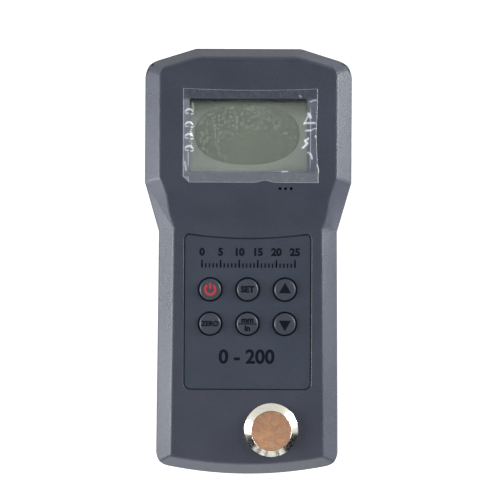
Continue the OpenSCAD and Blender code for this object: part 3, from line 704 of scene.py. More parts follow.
@dataclass(frozen=True)
class Finish:
    """A surface finish, which makes one material."""

    name: str
    slot: str
    SHADES = True

    def material(self) -> Material:
        """Return the finish's material, made on first use.

        Returns:
            The material.
        """
        made = bpy.data.materials.get(self.name)
        if made is None:
            made = bpy.data.materials.new(self.name)
            made.use_nodes = True
            made.node_tree.nodes.clear()
            graph = Graph(made.node_tree)
            graph.add("ShaderNodeOutputMaterial", {"Surface": self.surface(graph)})
        return made

    def surface(self, graph: Graph) -> NodeSocket:
        """Build the finish's nodes and return the shader."""
        raise NotImplementedError

    def dress(self, obj: Object) -> None:
        """Give a piece this finish in every one of its material slots.

        Args:
            obj: Piece to work on.
        """
        obj.visible_shadow = self.SHADES
        if not obj.data.materials:
            obj.data.materials.append(None)
        for index in range(len(obj.data.materials)):
            obj.data.materials[index] = self.material()


@dataclass(frozen=True)
class Moulding(Finish):
    """Moulded plastic or rubber with a grained face."""

    light: Colour
    dark: Colour
    roughness: Point = (0.32, 0.4)
    grain: float = 0.42 * MM
    patch: float = 14 * MM
    relief: float = 0.12 * MM
    shine: float = 0.5
    speck: float = 0.6

    def surface(self, graph: Graph) -> NodeSocket:
        """Drift the colour and roughness, emboss the grain, and dull low glances.

        Args:
            graph: Graph of the material.

        Returns:
            The shader.
        """
        look = GRAIN.use(graph, Vector=graph.coordinates(), Grain_Size=self.grain, Patch_Size=self.patch)
        tone = look.outputs["Tone"]
        speck = graph.span(look.outputs["Height"], (0.35, 0.65), (-self.speck, self.speck))
        mottle = graph.math("ADD", tone, speck, clamp=True)
        return graph.shader(
            "BsdfPrincipled",
            Base_Color=graph.mix(mottle, self.dark, self.light),
            Roughness=graph.span(tone, graph.UNIT, self.roughness),
            Specular_IOR_Level=graph.dulled(self.shine),
            Normal=graph.bump(look.outputs["Height"], self.relief),
        )


@dataclass(frozen=True)
class TurnedMetal(Finish):
    """Bare turned metal with tool marks round an axis."""

    light: Colour
    dark: Colour
    centre: Spot
    turn: Spot = (0, 0, 0)
    roughness: Point = (0.14, 0.24)
    pitch: float = 0.16 * MM
    relief: float = 0.002 * MM
    scratch: float = 3 * MM
    wear: float = 0.12

    def surface(self, graph: Graph) -> NodeSocket:
        """Ring the metal with tool marks in colour, gloss and relief.

        Args:
            graph: Graph of the material.

        Returns:
            The shader.
        """
        vector = graph.coordinates(self.centre, self.turn)
        rings = MARKS.use(graph, Vector=vector, Pitch=self.pitch).outputs[0]
        rubbed = SCRATCHES.use(graph, Vector=vector, Length=self.scratch).outputs[0]
        worn = graph.math("MULTIPLY", rubbed, self.wear)
        return graph.shader(
            "BsdfPrincipled",
            Base_Color=graph.mix(rings, self.dark, self.light),
            Metallic=1.0,
            Roughness=graph.math("ADD", graph.span(rings, graph.UNIT, self.roughness), worn),
            Normal=graph.bump(rings, self.relief),
        )


@dataclass(frozen=True)
class LappedCopper(Finish):
    """Copper-coloured plating that was lapped by hand and has dulled in patches."""

    light: Colour
    dark: Colour
    mark: Colour
    centre: Spot
    patch: float = 3.2 * MM
    pit: float = 0.5 * MM
    scratch: float = 2.4 * MM
    relief: float = 0.006 * MM
    roughness: Point = (0.42, 0.58)
    dull_zone: Point = (-2 * MM, 4 * MM)
    dulling: Point = (0.15, -0.35)
    pitting: float = 0.3
    scribbling: float = 0.55
    metal: float = 0.3

    def surface(self, graph: Graph) -> NodeSocket:
        """Mottle the colour, dull it towards +Y, and scribble crossing marks over it.

        Args:
            graph: Graph of the material.

        Returns:
            The shader.
        """
        vector = graph.coordinates(self.centre)
        dull = graph.span(graph.along(vector, "Y"), self.dull_zone, self.dulling)
        cloud = graph.span(graph.noise(vector, self.patch, 4.0, 0.6), (0.32, 0.68), graph.UNIT)
        cloud = graph.math("ADD", cloud, dull, clamp=True)
        speck = graph.span(graph.noise(vector, self.pit, 3.0, 0.7), (0.4, 0.7), graph.UNIT)
        scribble = SCRATCHES.use(graph, Vector=vector, Length=self.scratch).outputs[0]
        base = graph.mix(cloud, self.dark, self.light)
        spotted = graph.mix(graph.math("MULTIPLY", speck, self.pitting), base, self.dark)
        return graph.shader(
            "BsdfPrincipled",
            Base_Color=graph.mix(graph.math("MULTIPLY", scribble, self.scribbling), spotted, self.mark),
            Metallic=self.metal,
            Roughness=graph.span(cloud, graph.UNIT, self.roughness),
            Normal=graph.bump(graph.math("ADD", speck, scribble), self.relief),
        )


@dataclass(frozen=True)
class ClearMoulding(Finish):
    """Clear plastic that lamps shine through."""

    tint: Colour
    smear: Point = (0.0, 0.04)
    smear_size: float = 6 * MM
    ior: float = 1.49
    SHADES = False

    def surface(self, graph: Graph) -> NodeSocket:
        """Smear the gloss a little, and let low glances through to what lies behind.

        Args:
            graph: Graph of the material.

        Returns:
            The shader.
        """
        smears = graph.noise(graph.coordinates(), self.smear_size, 4.0, 0.6)
        glass = graph.shader(
            "BsdfPrincipled",
            Base_Color=self.tint,
            Roughness=graph.span(smears, (0.35, 0.75), self.smear),
            Transmission_Weight=1.0,
            IOR=self.ior,
        )
        through = graph.shader("BsdfTransparent", Color=self.tint)
        return graph.blend(graph.dulled(1.0), through, glass)


@dataclass(frozen=True)
class DisplayGlass(Finish):
    """Unlit liquid crystal display: a grey-green reflector with a fine sparkle, and a painted shadow along
    its top edge where the opening's top wall shades it.
    """

    light: Colour
    dark: Colour
    # Colour of the painted shadow under the opening's top wall.
    edge: Colour
    shadow_line: float
    shadow_fade: float = 1.3 * MM
    shadow_step: float = 0.12 * MM
    sparkle: float = 0.35
    grain: float = 0.18 * MM
    patch: float = 11 * MM
    roughness: Point = (0.3, 0.4)
    shading: Point = (0.0, 0.5)
    shine: float = 0.5
    coat: float = 0.3

    def surface(self, graph: Graph) -> NodeSocket:
        """Speckle the reflector, drift its tone and paint the shadow of the opening's top wall along its
        top edge.

        Args:
            graph: Graph of the material.

        Returns:
            The shader.
        """
        vector = graph.coordinates()
        look = GRAIN.use(graph, Vector=vector, Grain_Size=self.grain, Patch_Size=self.patch)
        sparkle = graph.math("MULTIPLY", look.outputs["Height"], self.sparkle)
        tone = graph.math("MULTIPLY", look.outputs["Tone"], 1 - self.sparkle)
        face = graph.mix(graph.math("ADD", tone, sparkle), self.dark, self.light)
        # Painted shadow: darker towards the top edge, then a dark line, as if shaded by the opening's top
        # wall.
        along = graph.along(vector, "Y")
        shade = graph.span(along, (self.shadow_line - self.shadow_fade, self.shadow_line), self.shading, smooth=True)
        rim = graph.span(along, (self.shadow_line, self.shadow_line + self.shadow_step), self.shading)
        return graph.shader(
            "BsdfPrincipled",
            Base_Color=graph.mix(graph.math("ADD", shade, rim), face, self.edge),
            Roughness=graph.span(look.outputs["Tone"], graph.UNIT, self.roughness),
            Specular_IOR_Level=graph.dulled(self.shine),
            Coat_Weight=graph.dulled(self.coat),
        )


@dataclass(frozen=True)
class CrinkledFilm(Finish):
    """Thin clear film: clear where it clings to the window, milky where air lies under it, with painted
    glints on its creases.
    """

    milk: Colour
    clear: Colour
    wet: Colour
    foam: Colour
    most_gloss: float = 0.035
    gloss_ior: float = 1.28
    roughness: float = 0.12
    cloud: float = 2.4 * MM
    ripple: float = 0.9 * MM
    relief: float = 0.02 * MM
    bubble: float = 0.155
    bubble_pitches: tuple[float, ...] = (1.6 * MM, 1.05 * MM)
    bubble_edge: Point = (0.1, 0.5)
    bubble_chance: Point = (0.25, 0.9)
    bubble_drift: float = 0.4 * MM
    drift_size: float = 0.9 * MM
    SHADES = False
    HAZE_AND_GLINT = "haze_and_glint"
    CLING_AND_SHADE = "cling"
    BUBBLY = "bubbly"

    def surface(self, graph: Graph) -> NodeSocket:
        """Let most light through, veil the rest, and mirror the surroundings on the creases.

        Args:
            graph: Graph of the material.

        Returns:
            The shader.
        """
        vector = graph.coordinates()
        # The cling mask also carries painted shade at the rim and the top of the opening, and painted light
        # at the patch's ends.
        cling = graph.attribute(self.CLING_AND_SHADE)
        cloud = graph.span(graph.noise(vector, self.cloud), (0.3, 0.7), (0.9, 1.1))
        # The haze mask also carries the painted glints on the creases.
        veil = graph.math("MULTIPLY", graph.attribute(self.HAZE_AND_GLINT), cloud)
        bubbles = graph.math("MULTIPLY", graph.attribute(self.BUBBLY), self.bubbles(graph, vector))
        veil = graph.math("ADD", veil, bubbles, clamp=True)
        clear = graph.shader("BsdfTransparent", Color=graph.mix(cling, self.clear, self.wet))
        milky = graph.shader("BsdfDiffuse", Color=graph.mix(cling, self.milk, self.foam))
        normal = graph.bump(graph.noise(vector, self.ripple), self.relief, 0.5)
        mirror = graph.shader(
            "BsdfPrincipled", Base_Color=WHITE, Metallic=1.0, Roughness=self.roughness, Normal=normal
        )
        gloss = graph.add("ShaderNodeFresnel", {"IOR": self.gloss_ior, "Normal": normal}).outputs[0]
        inner = graph.add("ShaderNodeNewGeometry").outputs["Backfacing"]
        gloss = graph.math("MULTIPLY", gloss, graph.math("SUBTRACT", 1.0, inner))
        gloss = graph.math("MINIMUM", gloss, self.most_gloss)
        return graph.blend(gloss, graph.blend(veil, clear, milky), mirror)

    def bubbles(self, graph: Graph, vector: NodeSocket) -> NodeSocket:
        """Scatter soft blots of two sizes, pulled out of round.

        Args:
            graph: Graph of the material.
            vector: Where the pattern is read.

        Returns:
            How milky a bubble makes the film.
        """
        inputs = {"Vector": vector, "Scale": 1 / self.drift_size}
        drift = graph.add("ShaderNodeTexNoise", inputs).outputs["Color"]
        drift = graph.vector("SUBTRACT", drift, (0.5, 0.5, 0.5)).outputs[0]
        drift = graph.vector("MULTIPLY", drift, (self.bubble_drift,) * 3).outputs[0]
        pulled = graph.vector("ADD", vector, drift).outputs[0]
        specks: Any = 0.0
        for pitch in self.bubble_pitches:
            inputs = {"Vector": pulled, "Scale": 1 / pitch}
            cells = graph.add("ShaderNodeTexVoronoi", inputs, voronoi_dimensions="2D").outputs
            chance = graph.add("ShaderNodeSeparateColor", {0: cells["Color"]}).outputs[0]
            dots = graph.span(cells["Distance"], self.bubble_edge, (self.bubble, 0.0), smooth=True)
            picked = graph.math("MULTIPLY", dots, graph.span(chance, self.bubble_chance, graph.UNIT))
            specks = graph.math("MAXIMUM", specks, picked)
        return specks


@dataclass(frozen=True)
class Ink(Finish):
    """Screen-printed ink, slightly thin in places."""

    colour: Colour
    thin: Colour
    grain: float = 0.35 * MM
    roughness: Point = (0.5, 0.65)
    shine: float = 0.2

    def surface(self, graph: Graph) -> NodeSocket:
        """Let the ink's body vary a little over the print.

        Args:
            graph: Graph of the material.

        Returns:
            The shader.
        """
        body = graph.span(graph.noise(graph.coordinates(), self.grain, 3.0, 0.6), (0.5, 0.8), graph.UNIT)
        return graph.shader(
            "BsdfPrincipled",
            Base_Color=graph.mix(body, self.colour, self.thin),
            Roughness=graph.span(body, graph.UNIT, self.roughness),
            Specular_IOR_Level=graph.dulled(self.shine),
        )


@dataclass(frozen=True)
class Laminate(Finish):
    """Circuit board under solder mask, with the tracks showing as faint lines."""

    mask: Colour
    track: Colour
    pitch: float = 1.3 * MM
    stagger: float = 0.35
    line_edge: Point = (0.06, 0.12)
    relief: float = 0.02 * MM
    roughness: Point = (0.3, 0.4)

    def surface(self, graph: Graph) -> NodeSocket:
        """Draw blocky tracks under the mask.

        Args:
            graph: Graph of the material.

        Returns:
            The shader.
        """
        inputs = {"Vector": graph.coordinates(), "Scale": 1 / self.pitch, "Randomness": self.stagger}
        cells = graph.add("ShaderNodeTexVoronoi", inputs, distance="CHEBYCHEV", feature="DISTANCE_TO_EDGE")
        lines = graph.span(cells.outputs[0], self.line_edge, (1.0, 0.0))
        return graph.shader(
            "BsdfPrincipled",
            Base_Color=graph.mix(lines, self.mask, self.track),
            Roughness=graph.span(lines, graph.UNIT, self.roughness),
            Normal=graph.bump(lines, self.relief),
        )


@dataclass(frozen=True)
class CellSleeve(Finish):
    """Plain sleeve of a dry cell, in one colour below its split and another above it."""

    lower: Colour
    upper: Colour
    split: float
    scratch: float = 4 * MM
    roughness: Point = (0.28, 0.5)
    metal: float = 0.35

    def surface(self, graph: Graph) -> NodeSocket:
        """Split the sleeve's colour along the cell.

        Args:
            graph: Graph of the material.

        Returns:
            The shader.
        """
        vector = graph.coordinates()
        side = graph.math("GREATER_THAN", graph.along(vector, "Y"), self.split)
        scuff = SCRATCHES.use(graph, Vector=vector, Length=self.scratch).outputs[0]
        return graph.shader(
            "BsdfPrincipled",
            Base_Color=graph.mix(side, self.lower, self.upper),
            Metallic=self.metal,
            Roughness=graph.span(scuff, graph.UNIT, self.roughness),
        )


@dataclass(frozen=True)
class BrushedMetal(Finish):
    """Sheet or bar metal with fine rubbing marks."""

    light: Colour
    dark: Colour
    roughness: Point = (0.25, 0.42)
    scratch: float = 2.5 * MM
    cloud: float = 2 * MM
    relief: float = 0.004 * MM
    wear: float = 0.6

    def surface(self, graph: Graph) -> NodeSocket:
        """Scratch the metal lightly and cloud its gloss.

        Args:
            graph: Graph of the material.

        Returns:
            The shader.
        """
        vector = graph.coordinates()
        rubbed = SCRATCHES.use(graph, Vector=vector, Length=self.scratch).outputs[0]
        cloud = graph.span(graph.noise(vector, self.cloud, 3.0), (0.3, 0.7), graph.UNIT)
        return graph.shader(
            "BsdfPrincipled",
            Base_Color=graph.mix(graph.math("MULTIPLY", rubbed, self.wear), self.light, self.dark),
            Metallic=1.0,
            Roughness=graph.span(cloud, graph.UNIT, self.roughness),
            Normal=graph.bump(rubbed, self.relief),
        )


@dataclass(frozen=True)
class FlagCloth(Finish):
    """Dull black cloth of the cards that only bright metal mirrors."""

    colour: Colour
    SHADES = False

    def surface(self, graph: Graph) -> NodeSocket:
        """Keep the cloth plain."""
        return graph.shader("BsdfDiffuse", Color=self.colour)


@dataclass(frozen=True)
class PaleFloor(Finish):
    """Floor that looks white from afar and still takes a shadow."""

    colour: Colour
    glow: float = 0.65
    far_glow: float = 0.82
    far_fade: Point = (0.14, 0.4)
    mirrored: float = 0.35

    def surface(self, graph: Graph) -> NodeSocket:
        """Add a glow for what the camera sees of the floor, straight or by a mirror or window.

        Args:
            graph: Graph of the material.

        Returns:
            The shader.
        """
        path = graph.add("ShaderNodeLightPath").outputs
        away = graph.vector("LENGTH", graph.coordinates()).outputs["Value"]
        glow = graph.span(away, self.far_fade, (self.glow, self.far_glow), smooth=True)
        straight = graph.math("MULTIPLY", path["Is Camera Ray"], glow)
        mirrored = graph.math("ADD", path["Is Glossy Ray"], path["Is Transmission Ray"], clamp=True)
        strength = graph.math("ADD", straight, graph.math("MULTIPLY", mirrored, self.mirrored))
        diffuse = graph.shader("BsdfDiffuse", Color=self.colour)
        bright = graph.shader("Emission", Color=WHITE, Strength=strength)
        return graph.add("ShaderNodeAddShader", {0: diffuse, 1: bright}).outputs[0]


CASE_PLASTIC = Moulding("Grained case plastic", "case_plastic", srgb(75, 81, 96), srgb(68, 74, 89))
PLATE_PLASTIC = Moulding(
    "Satin keypad plastic", "keypad_plastic", srgb(66, 75, 91), srgb(62, 71, 87), (0.46, 0.54),
    0.22 * MM, relief=0.09 * MM,
)
KEY_PLASTIC = Moulding(
    "Key plastic", "key_plastic", srgb(73, 79, 93), srgb(69, 75, 89), (0.34, 0.42),
    0.2 * MM, 6 * MM, 0.006 * MM,
)
BLACK_PLASTIC = Moulding("Black plastic", "black_plastic", srgb(34, 35, 38), srgb(28, 29, 32))
WHITE_PLASTIC = Moulding("White plastic", "white_plastic", srgb(226, 227, 222), srgb(216, 217, 212))
LEAD_RUBBER = Moulding("Lead sheath", "lead_rubber", srgb(40, 40, 42), srgb(32, 32, 34), (0.55, 0.65))
STRIP_RUBBER = Moulding(
    "Contact rubber", "strip_rubber", srgb(196, 148, 160), srgb(182, 134, 147), (0.6, 0.7)
)
WINDOW_CLEAR = ClearMoulding("Clear window", "window_clear", srgb(248, 250, 249))
# Its third colour and its height set the painted shadow along the display's top edge.
DISPLAY = DisplayGlass(
    "Display glass", "display_glass", srgb(136, 142, 130), srgb(128, 134, 122), srgb(22, 24, 28), 46.75 * MM
)
FILM = CrinkledFilm(
    "Clear film", "film_clear", srgb(238, 245, 255), srgb(252, 253, 253), srgb(227, 228, 227),
    srgb(212, 226, 200),
)
DARK_INK = Ink("Dark ink", "key_plastic", srgb(14, 18, 32), srgb(26, 30, 44))
RED_INK = Ink("Red ink", "key_plastic", srgb(208, 72, 76), srgb(178, 68, 74))
CONTACT_STEEL = BrushedMetal("Contact steel", "contact_steel", srgb(205, 206, 208), srgb(168, 168, 172))
DOME_STEEL = BrushedMetal("Dome steel", "dome_steel", srgb(196, 197, 200), srgb(160, 161, 165))
CLIP_STEEL = BrushedMetal("Clip steel", "clip_steel", srgb(160, 161, 163), srgb(128, 129, 133))
NUT_PLATING = BrushedMetal(
    "Nut plating", "socket_brass", srgb(206, 203, 192), srgb(170, 166, 154), (0.18, 0.32)
)
BOARD = Laminate("Board laminate", "board_laminate", srgb(24, 82, 52), srgb(46, 112, 76))
FLAG_CLOTH = FlagCloth("Flag cloth", "stage", srgb(30, 30, 32))
PALE_FLOOR = PaleFloor("Pale floor", "stage", (0.9, 0.9, 0.9, 1.0))

RING_LIGHT = srgb(242, 239, 226)
RING_DARK = srgb(208, 205, 192)
COPPER_LIGHT = srgb(230, 182, 142)
COPPER_DARK = srgb(200, 155, 124)
COPPER_MARK = srgb(140, 108, 98)
SOCKET_LIGHT = srgb(214, 205, 180)
SOCKET_DARK = srgb(184, 172, 144)
SLEEVE_BODY = srgb(112, 128, 116)
SLEEVE_END = srgb(196, 196, 188)

INNER_FINISHES: dict[Finish, tuple[str, ...]] = {
    WINDOW_CLEAR: ("display_window",),
    DISPLAY: ("lcd_panel",),
    WHITE_PLASTIC: ("lcd_frame", "backlight", "socket_inserts"),
    STRIP_RUBBER: ("contact_strips",),
    BOARD: ("main_board",),
    BLACK_PLASTIC: ("buzzer", "end_panel", "controller_chip", "signal_chip", "pulse_coil"),
    CLIP_STEEL: ("block_clip", "board_screws"),
    LEAD_RUBBER: ("lead_send", "lead_receive"),
    CONTACT_STEEL: (
        "bridge_lower_left", "bridge_lower_right", "bridge_upper", "terminal_plus", "terminal_minus",
    ),
    DOME_STEEL: ("crystal",),
}


class Legend(Enum):
    """What each key does, by the name that its node and body carry."""

    POWER = "power"
    SET = "set"
    UP = "up"
    ZERO = "zero"
    UNIT = "unit"
    DOWN = "down"

    @property
    def node(self) -> str:
        """Name of the key's CAD node."""
        return f"key_{self.value}"

    @property
    def body(self) -> str:
        """Name of the body that the key moves with."""
        return f"{self.value}_key"

    @property
    def joint(self) -> str:
        """Name for the key's press joint, which this script doesn't make."""
        return f"key_{self.value}_press"

    @property
    def dome(self) -> str:
        """Name of the CAD node of the dome under the key."""
        return f"dome_{self.value}"


def hand_over(obj: Object, finish: Finish, body: str, *nodes: str) -> Object:
    """Finish a piece, put it on its body and hide the CAD nodes that it replaces.

    Args:
        obj: The modelled piece.
        finish: Its finish.
        body: Body that it moves with.
        nodes: CAD nodes that it replaces.

    Returns:
        The same piece.
    """
    finish.dress(obj)
    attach(obj, body)
    if nodes:
        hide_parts(*nodes)
    LOG.info("%s: %d faces on %s", obj.name, len(obj.data.polygons), body)
    return obj


@dataclass
class CaseShells:
    """The two moulded shells and the sliding battery door, with their edges eased."""

    nodes: dict[str, Object]
    soft: float = 0.6 * MM
    crown: float = 1.2 * MM
    mitre: float = 2.0 * MM
    rim: float = 0.15 * MM
    pocket_rim: float = 0.3 * MM
    steps: int = 4
    least_turn: float = math.radians(10)
    flat: float = 0.97
    upright: float = 0.05
    back_zone: float = 3.6 * MM
    door_margin: float = 1.2 * MM
    crown_zone: float = 11 * MM
    lengthways: float = 0.9
    door_high: Vector = field(init=False)
    plate_high: Vector = field(init=False)
    window_low: Vector = field(init=False)
    case_high: Vector = field(init=False)

    def __post_init__(self) -> None:
        """Read once where the neighbours lie."""
        self.door_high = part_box("battery_door")[1]
        self.plate_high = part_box("keypad_panel")[1]
        self.window_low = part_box("display_window")[0]
        self.case_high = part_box("front_shell")[1]

    def build(self) -> None:
        """Build and dress the three mouldings."""
        hand_over(self.front(), CASE_PLASTIC, CASE, "front_shell")
        hand_over(self.rear(), CASE_PLASTIC, CASE, "rear_shell")
        hand_over(self.door(), CASE_PLASTIC, DOOR, "battery_door")

    def slopes(self, edge: bmesh.types.BMEdge, way: int) -> list[float] | None:
        """How far the faces beside a convex edge look one way along Z.

        Args:
            edge: Edge of a shell.
            way: 1 for the front and -1 for the back.

        Returns:
            The lesser and the greater slope, or None where the edge isn't an outer corner.
        """
        if edge.calc_face_angle_signed(0.0) < self.least_turn:
            return None
        slopes = sorted(face.normal.z * way for face in edge.link_faces)
        return slopes if slopes[0] > -self.upright else None

    def is_bevel_edge(self, edge: bmesh.types.BMEdge, way: int) -> bool:
        """True along the edges of the broad bevels."""
        slopes = self.slopes(edge, way)
        return slopes is not None and any(2 * self.upright < slope < self.flat for slope in slopes)

    def is_rim(self, edge: bmesh.types.BMEdge, way: int) -> bool:
        """True where an upright wall meets a flat face, as round an opening."""
        slopes = self.slopes(edge, way)
        return slopes is not None and slopes[0] < self.upright and slopes[1] > self.flat

    def front_width(self, edge: bmesh.types.BMEdge) -> float:
        """Rounding of an edge of the front shell.

        Args:
            edge: Edge of the shell.

        Returns:
            Width of the rounding, or 0 for a sharp edge.
        """
        middle = (edge.verts[0].co + edge.verts[1].co) / 2
        slopes = sorted(face.normal.z for face in edge.link_faces)
        if self.is_bevel_edge(edge, 1):
            along = abs((edge.verts[0].co - edge.verts[1].co).normalized().y)
            if middle.y < self.case_high.y - self.crown_zone:
                return self.soft
            if slopes[1] > self.flat:
                return self.crown if along < self.lengthways else self.soft
            return self.mitre if slopes[0] > 2 * self.upright else self.soft
        if not self.is_rim(edge, 1) or middle.z < self.plate_high.z:
            return 0.0
        if middle.y > self.window_low.y:
            return self.rim
        return self.pocket_rim if middle.y < self.plate_high.y + self.pocket_rim else 0.0

    def rear_width(self, edge: bmesh.types.BMEdge) -> float:
        """Rounding of an edge of the rear shell, clear of the door.

        Args:
            edge: Edge of the shell.

        Returns:
            Width of the rounding, or 0 for a sharp edge.
        """
        middle = (edge.verts[0].co + edge.verts[1].co) / 2
        across = self.door_high.x + self.door_margin
        beside = abs(middle.x) > across or middle.y > self.door_high.y + self.door_margin
        if not beside or middle.z > self.back_zone:
            return 0.0
        if self.is_bevel_edge(edge, -1):
            return self.soft
        return self.rim if self.is_rim(edge, -1) else 0.0

    def front(self) -> Object:
        """Model the front shell."""
        shell = Bench.copy_node(self.nodes["front_shell"], "case_front")
        return Bench.ease_edges(shell, self.front_width, self.mitre, self.steps)

    def rear(self) -> Object:
        """Model the rear shell."""
        shell = Bench.copy_node(self.nodes["rear_shell"], "case_rear")
        return Bench.ease_edges(shell, self.rear_width, self.soft, self.steps)

    def door(self) -> Object:
        """Model the battery door."""
        door = Bench.copy_node(self.nodes["battery_door"], "door_moulding")
        return Bench.ease_edges(door, lambda edge: self.rim * self.is_rim(edge, -1), self.rim)


@dataclass
class KeypadPlate:
    """The thin plate in the grip face, with a plain scale and a range printed on it."""

    nodes: dict[str, Object]
    edge: float = 0.15 * MM
    print_depth: float = 0.03 * MM
    scale_left: float = -13.4 * MM
    scale_line: float = -1.5 * MM
    scale_numbers: float = 3.0 * MM
    number_size: float = 3.0 * MM
    number_step: int = 5
    number_count: int = 6
    tick_pitch: float = 1.09 * MM
    tick_width: float = 0.45 * MM
    tick_height: float = 1.3 * MM
    long_tick: float = 2.3 * MM
    number_weight: float = 0.15 * MM
    range_text: str = "0 - 200"
    range_spot: Point = (-0.2 * MM, -27.8 * MM)
    range_size: float = 5.7 * MM
    range_weight: float = 0.16 * MM

    def build(self) -> None:
        """Build the plate and its print."""
        plate = Bench.copy_node(self.nodes["keypad_panel"], "keypad_plate")
        Bench.ease_edges(plate, lambda edge: self.edge * self.is_top_edge(edge), self.edge)
        hand_over(plate, PLATE_PLASTIC, CASE, "keypad_panel")
        hand_over(self.scale(), DARK_INK, CASE)
        hand_over(self.range_mark(), DARK_INK, CASE)

    @staticmethod
    def is_top_edge(edge: bmesh.types.BMEdge) -> bool:
        """True on the upper edges of the plate and of its key holes."""
        slopes = sorted(face.normal.z for face in edge.link_faces)
        return abs(slopes[0]) < UPRIGHT and slopes[1] > LEVEL

    @property
    def top(self) -> float:
        """Height of the plate's face."""
        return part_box("keypad_panel")[1].z

    def scale(self) -> Object:
        """Print a row of ticks with a number over every fifth.

        Returns:
            The scale as one mesh.
        """
        span = self.number_step * self.tick_pitch
        ticks = self.row(self.tick_height, self.tick_pitch, self.number_step * (self.number_count - 1) + 1)
        longs = self.row(self.long_tick, span, self.number_count)
        parts = [ticks, longs]
        for index in range(self.number_count):
            text = str(index * self.number_step)
            number = Bench.letter(text, self.number_size, self.number_weight, self.print_depth)
            spot = (self.scale_left + index * span, self.scale_numbers, self.top)
            parts.append(Bench.place(number, spot))
        return Bench.join("print_scale", parts)

    def row(self, height: float, pitch: float, count: int) -> Object:
        """Print one row of ticks that stand on the scale's line.

        Args:
            height: Height of a tick.
            pitch: Distance from tick to tick.
            count: Number of ticks.

        Returns:
            The row as one mesh.
        """
        tick = Bench.bar(self.tick_width, height, self.print_depth)
        Bench.modify(
            tick, "ARRAY", count=count, use_relative_offset=False,
            use_constant_offset=True, constant_offset_displace=(pitch, 0, 0),
        )
        return Bench.place(tick, (self.scale_left, self.scale_line + height / 2, self.top))

    def range_mark(self) -> Object:
        """Print a plain measuring range below the keys.

        Returns:
            The print.
        """
        mark = Bench.letter(self.range_text, self.range_size, self.range_weight, self.print_depth)
        mark.name = "print_range"
        return Bench.place(mark, (*self.range_spot, self.top))


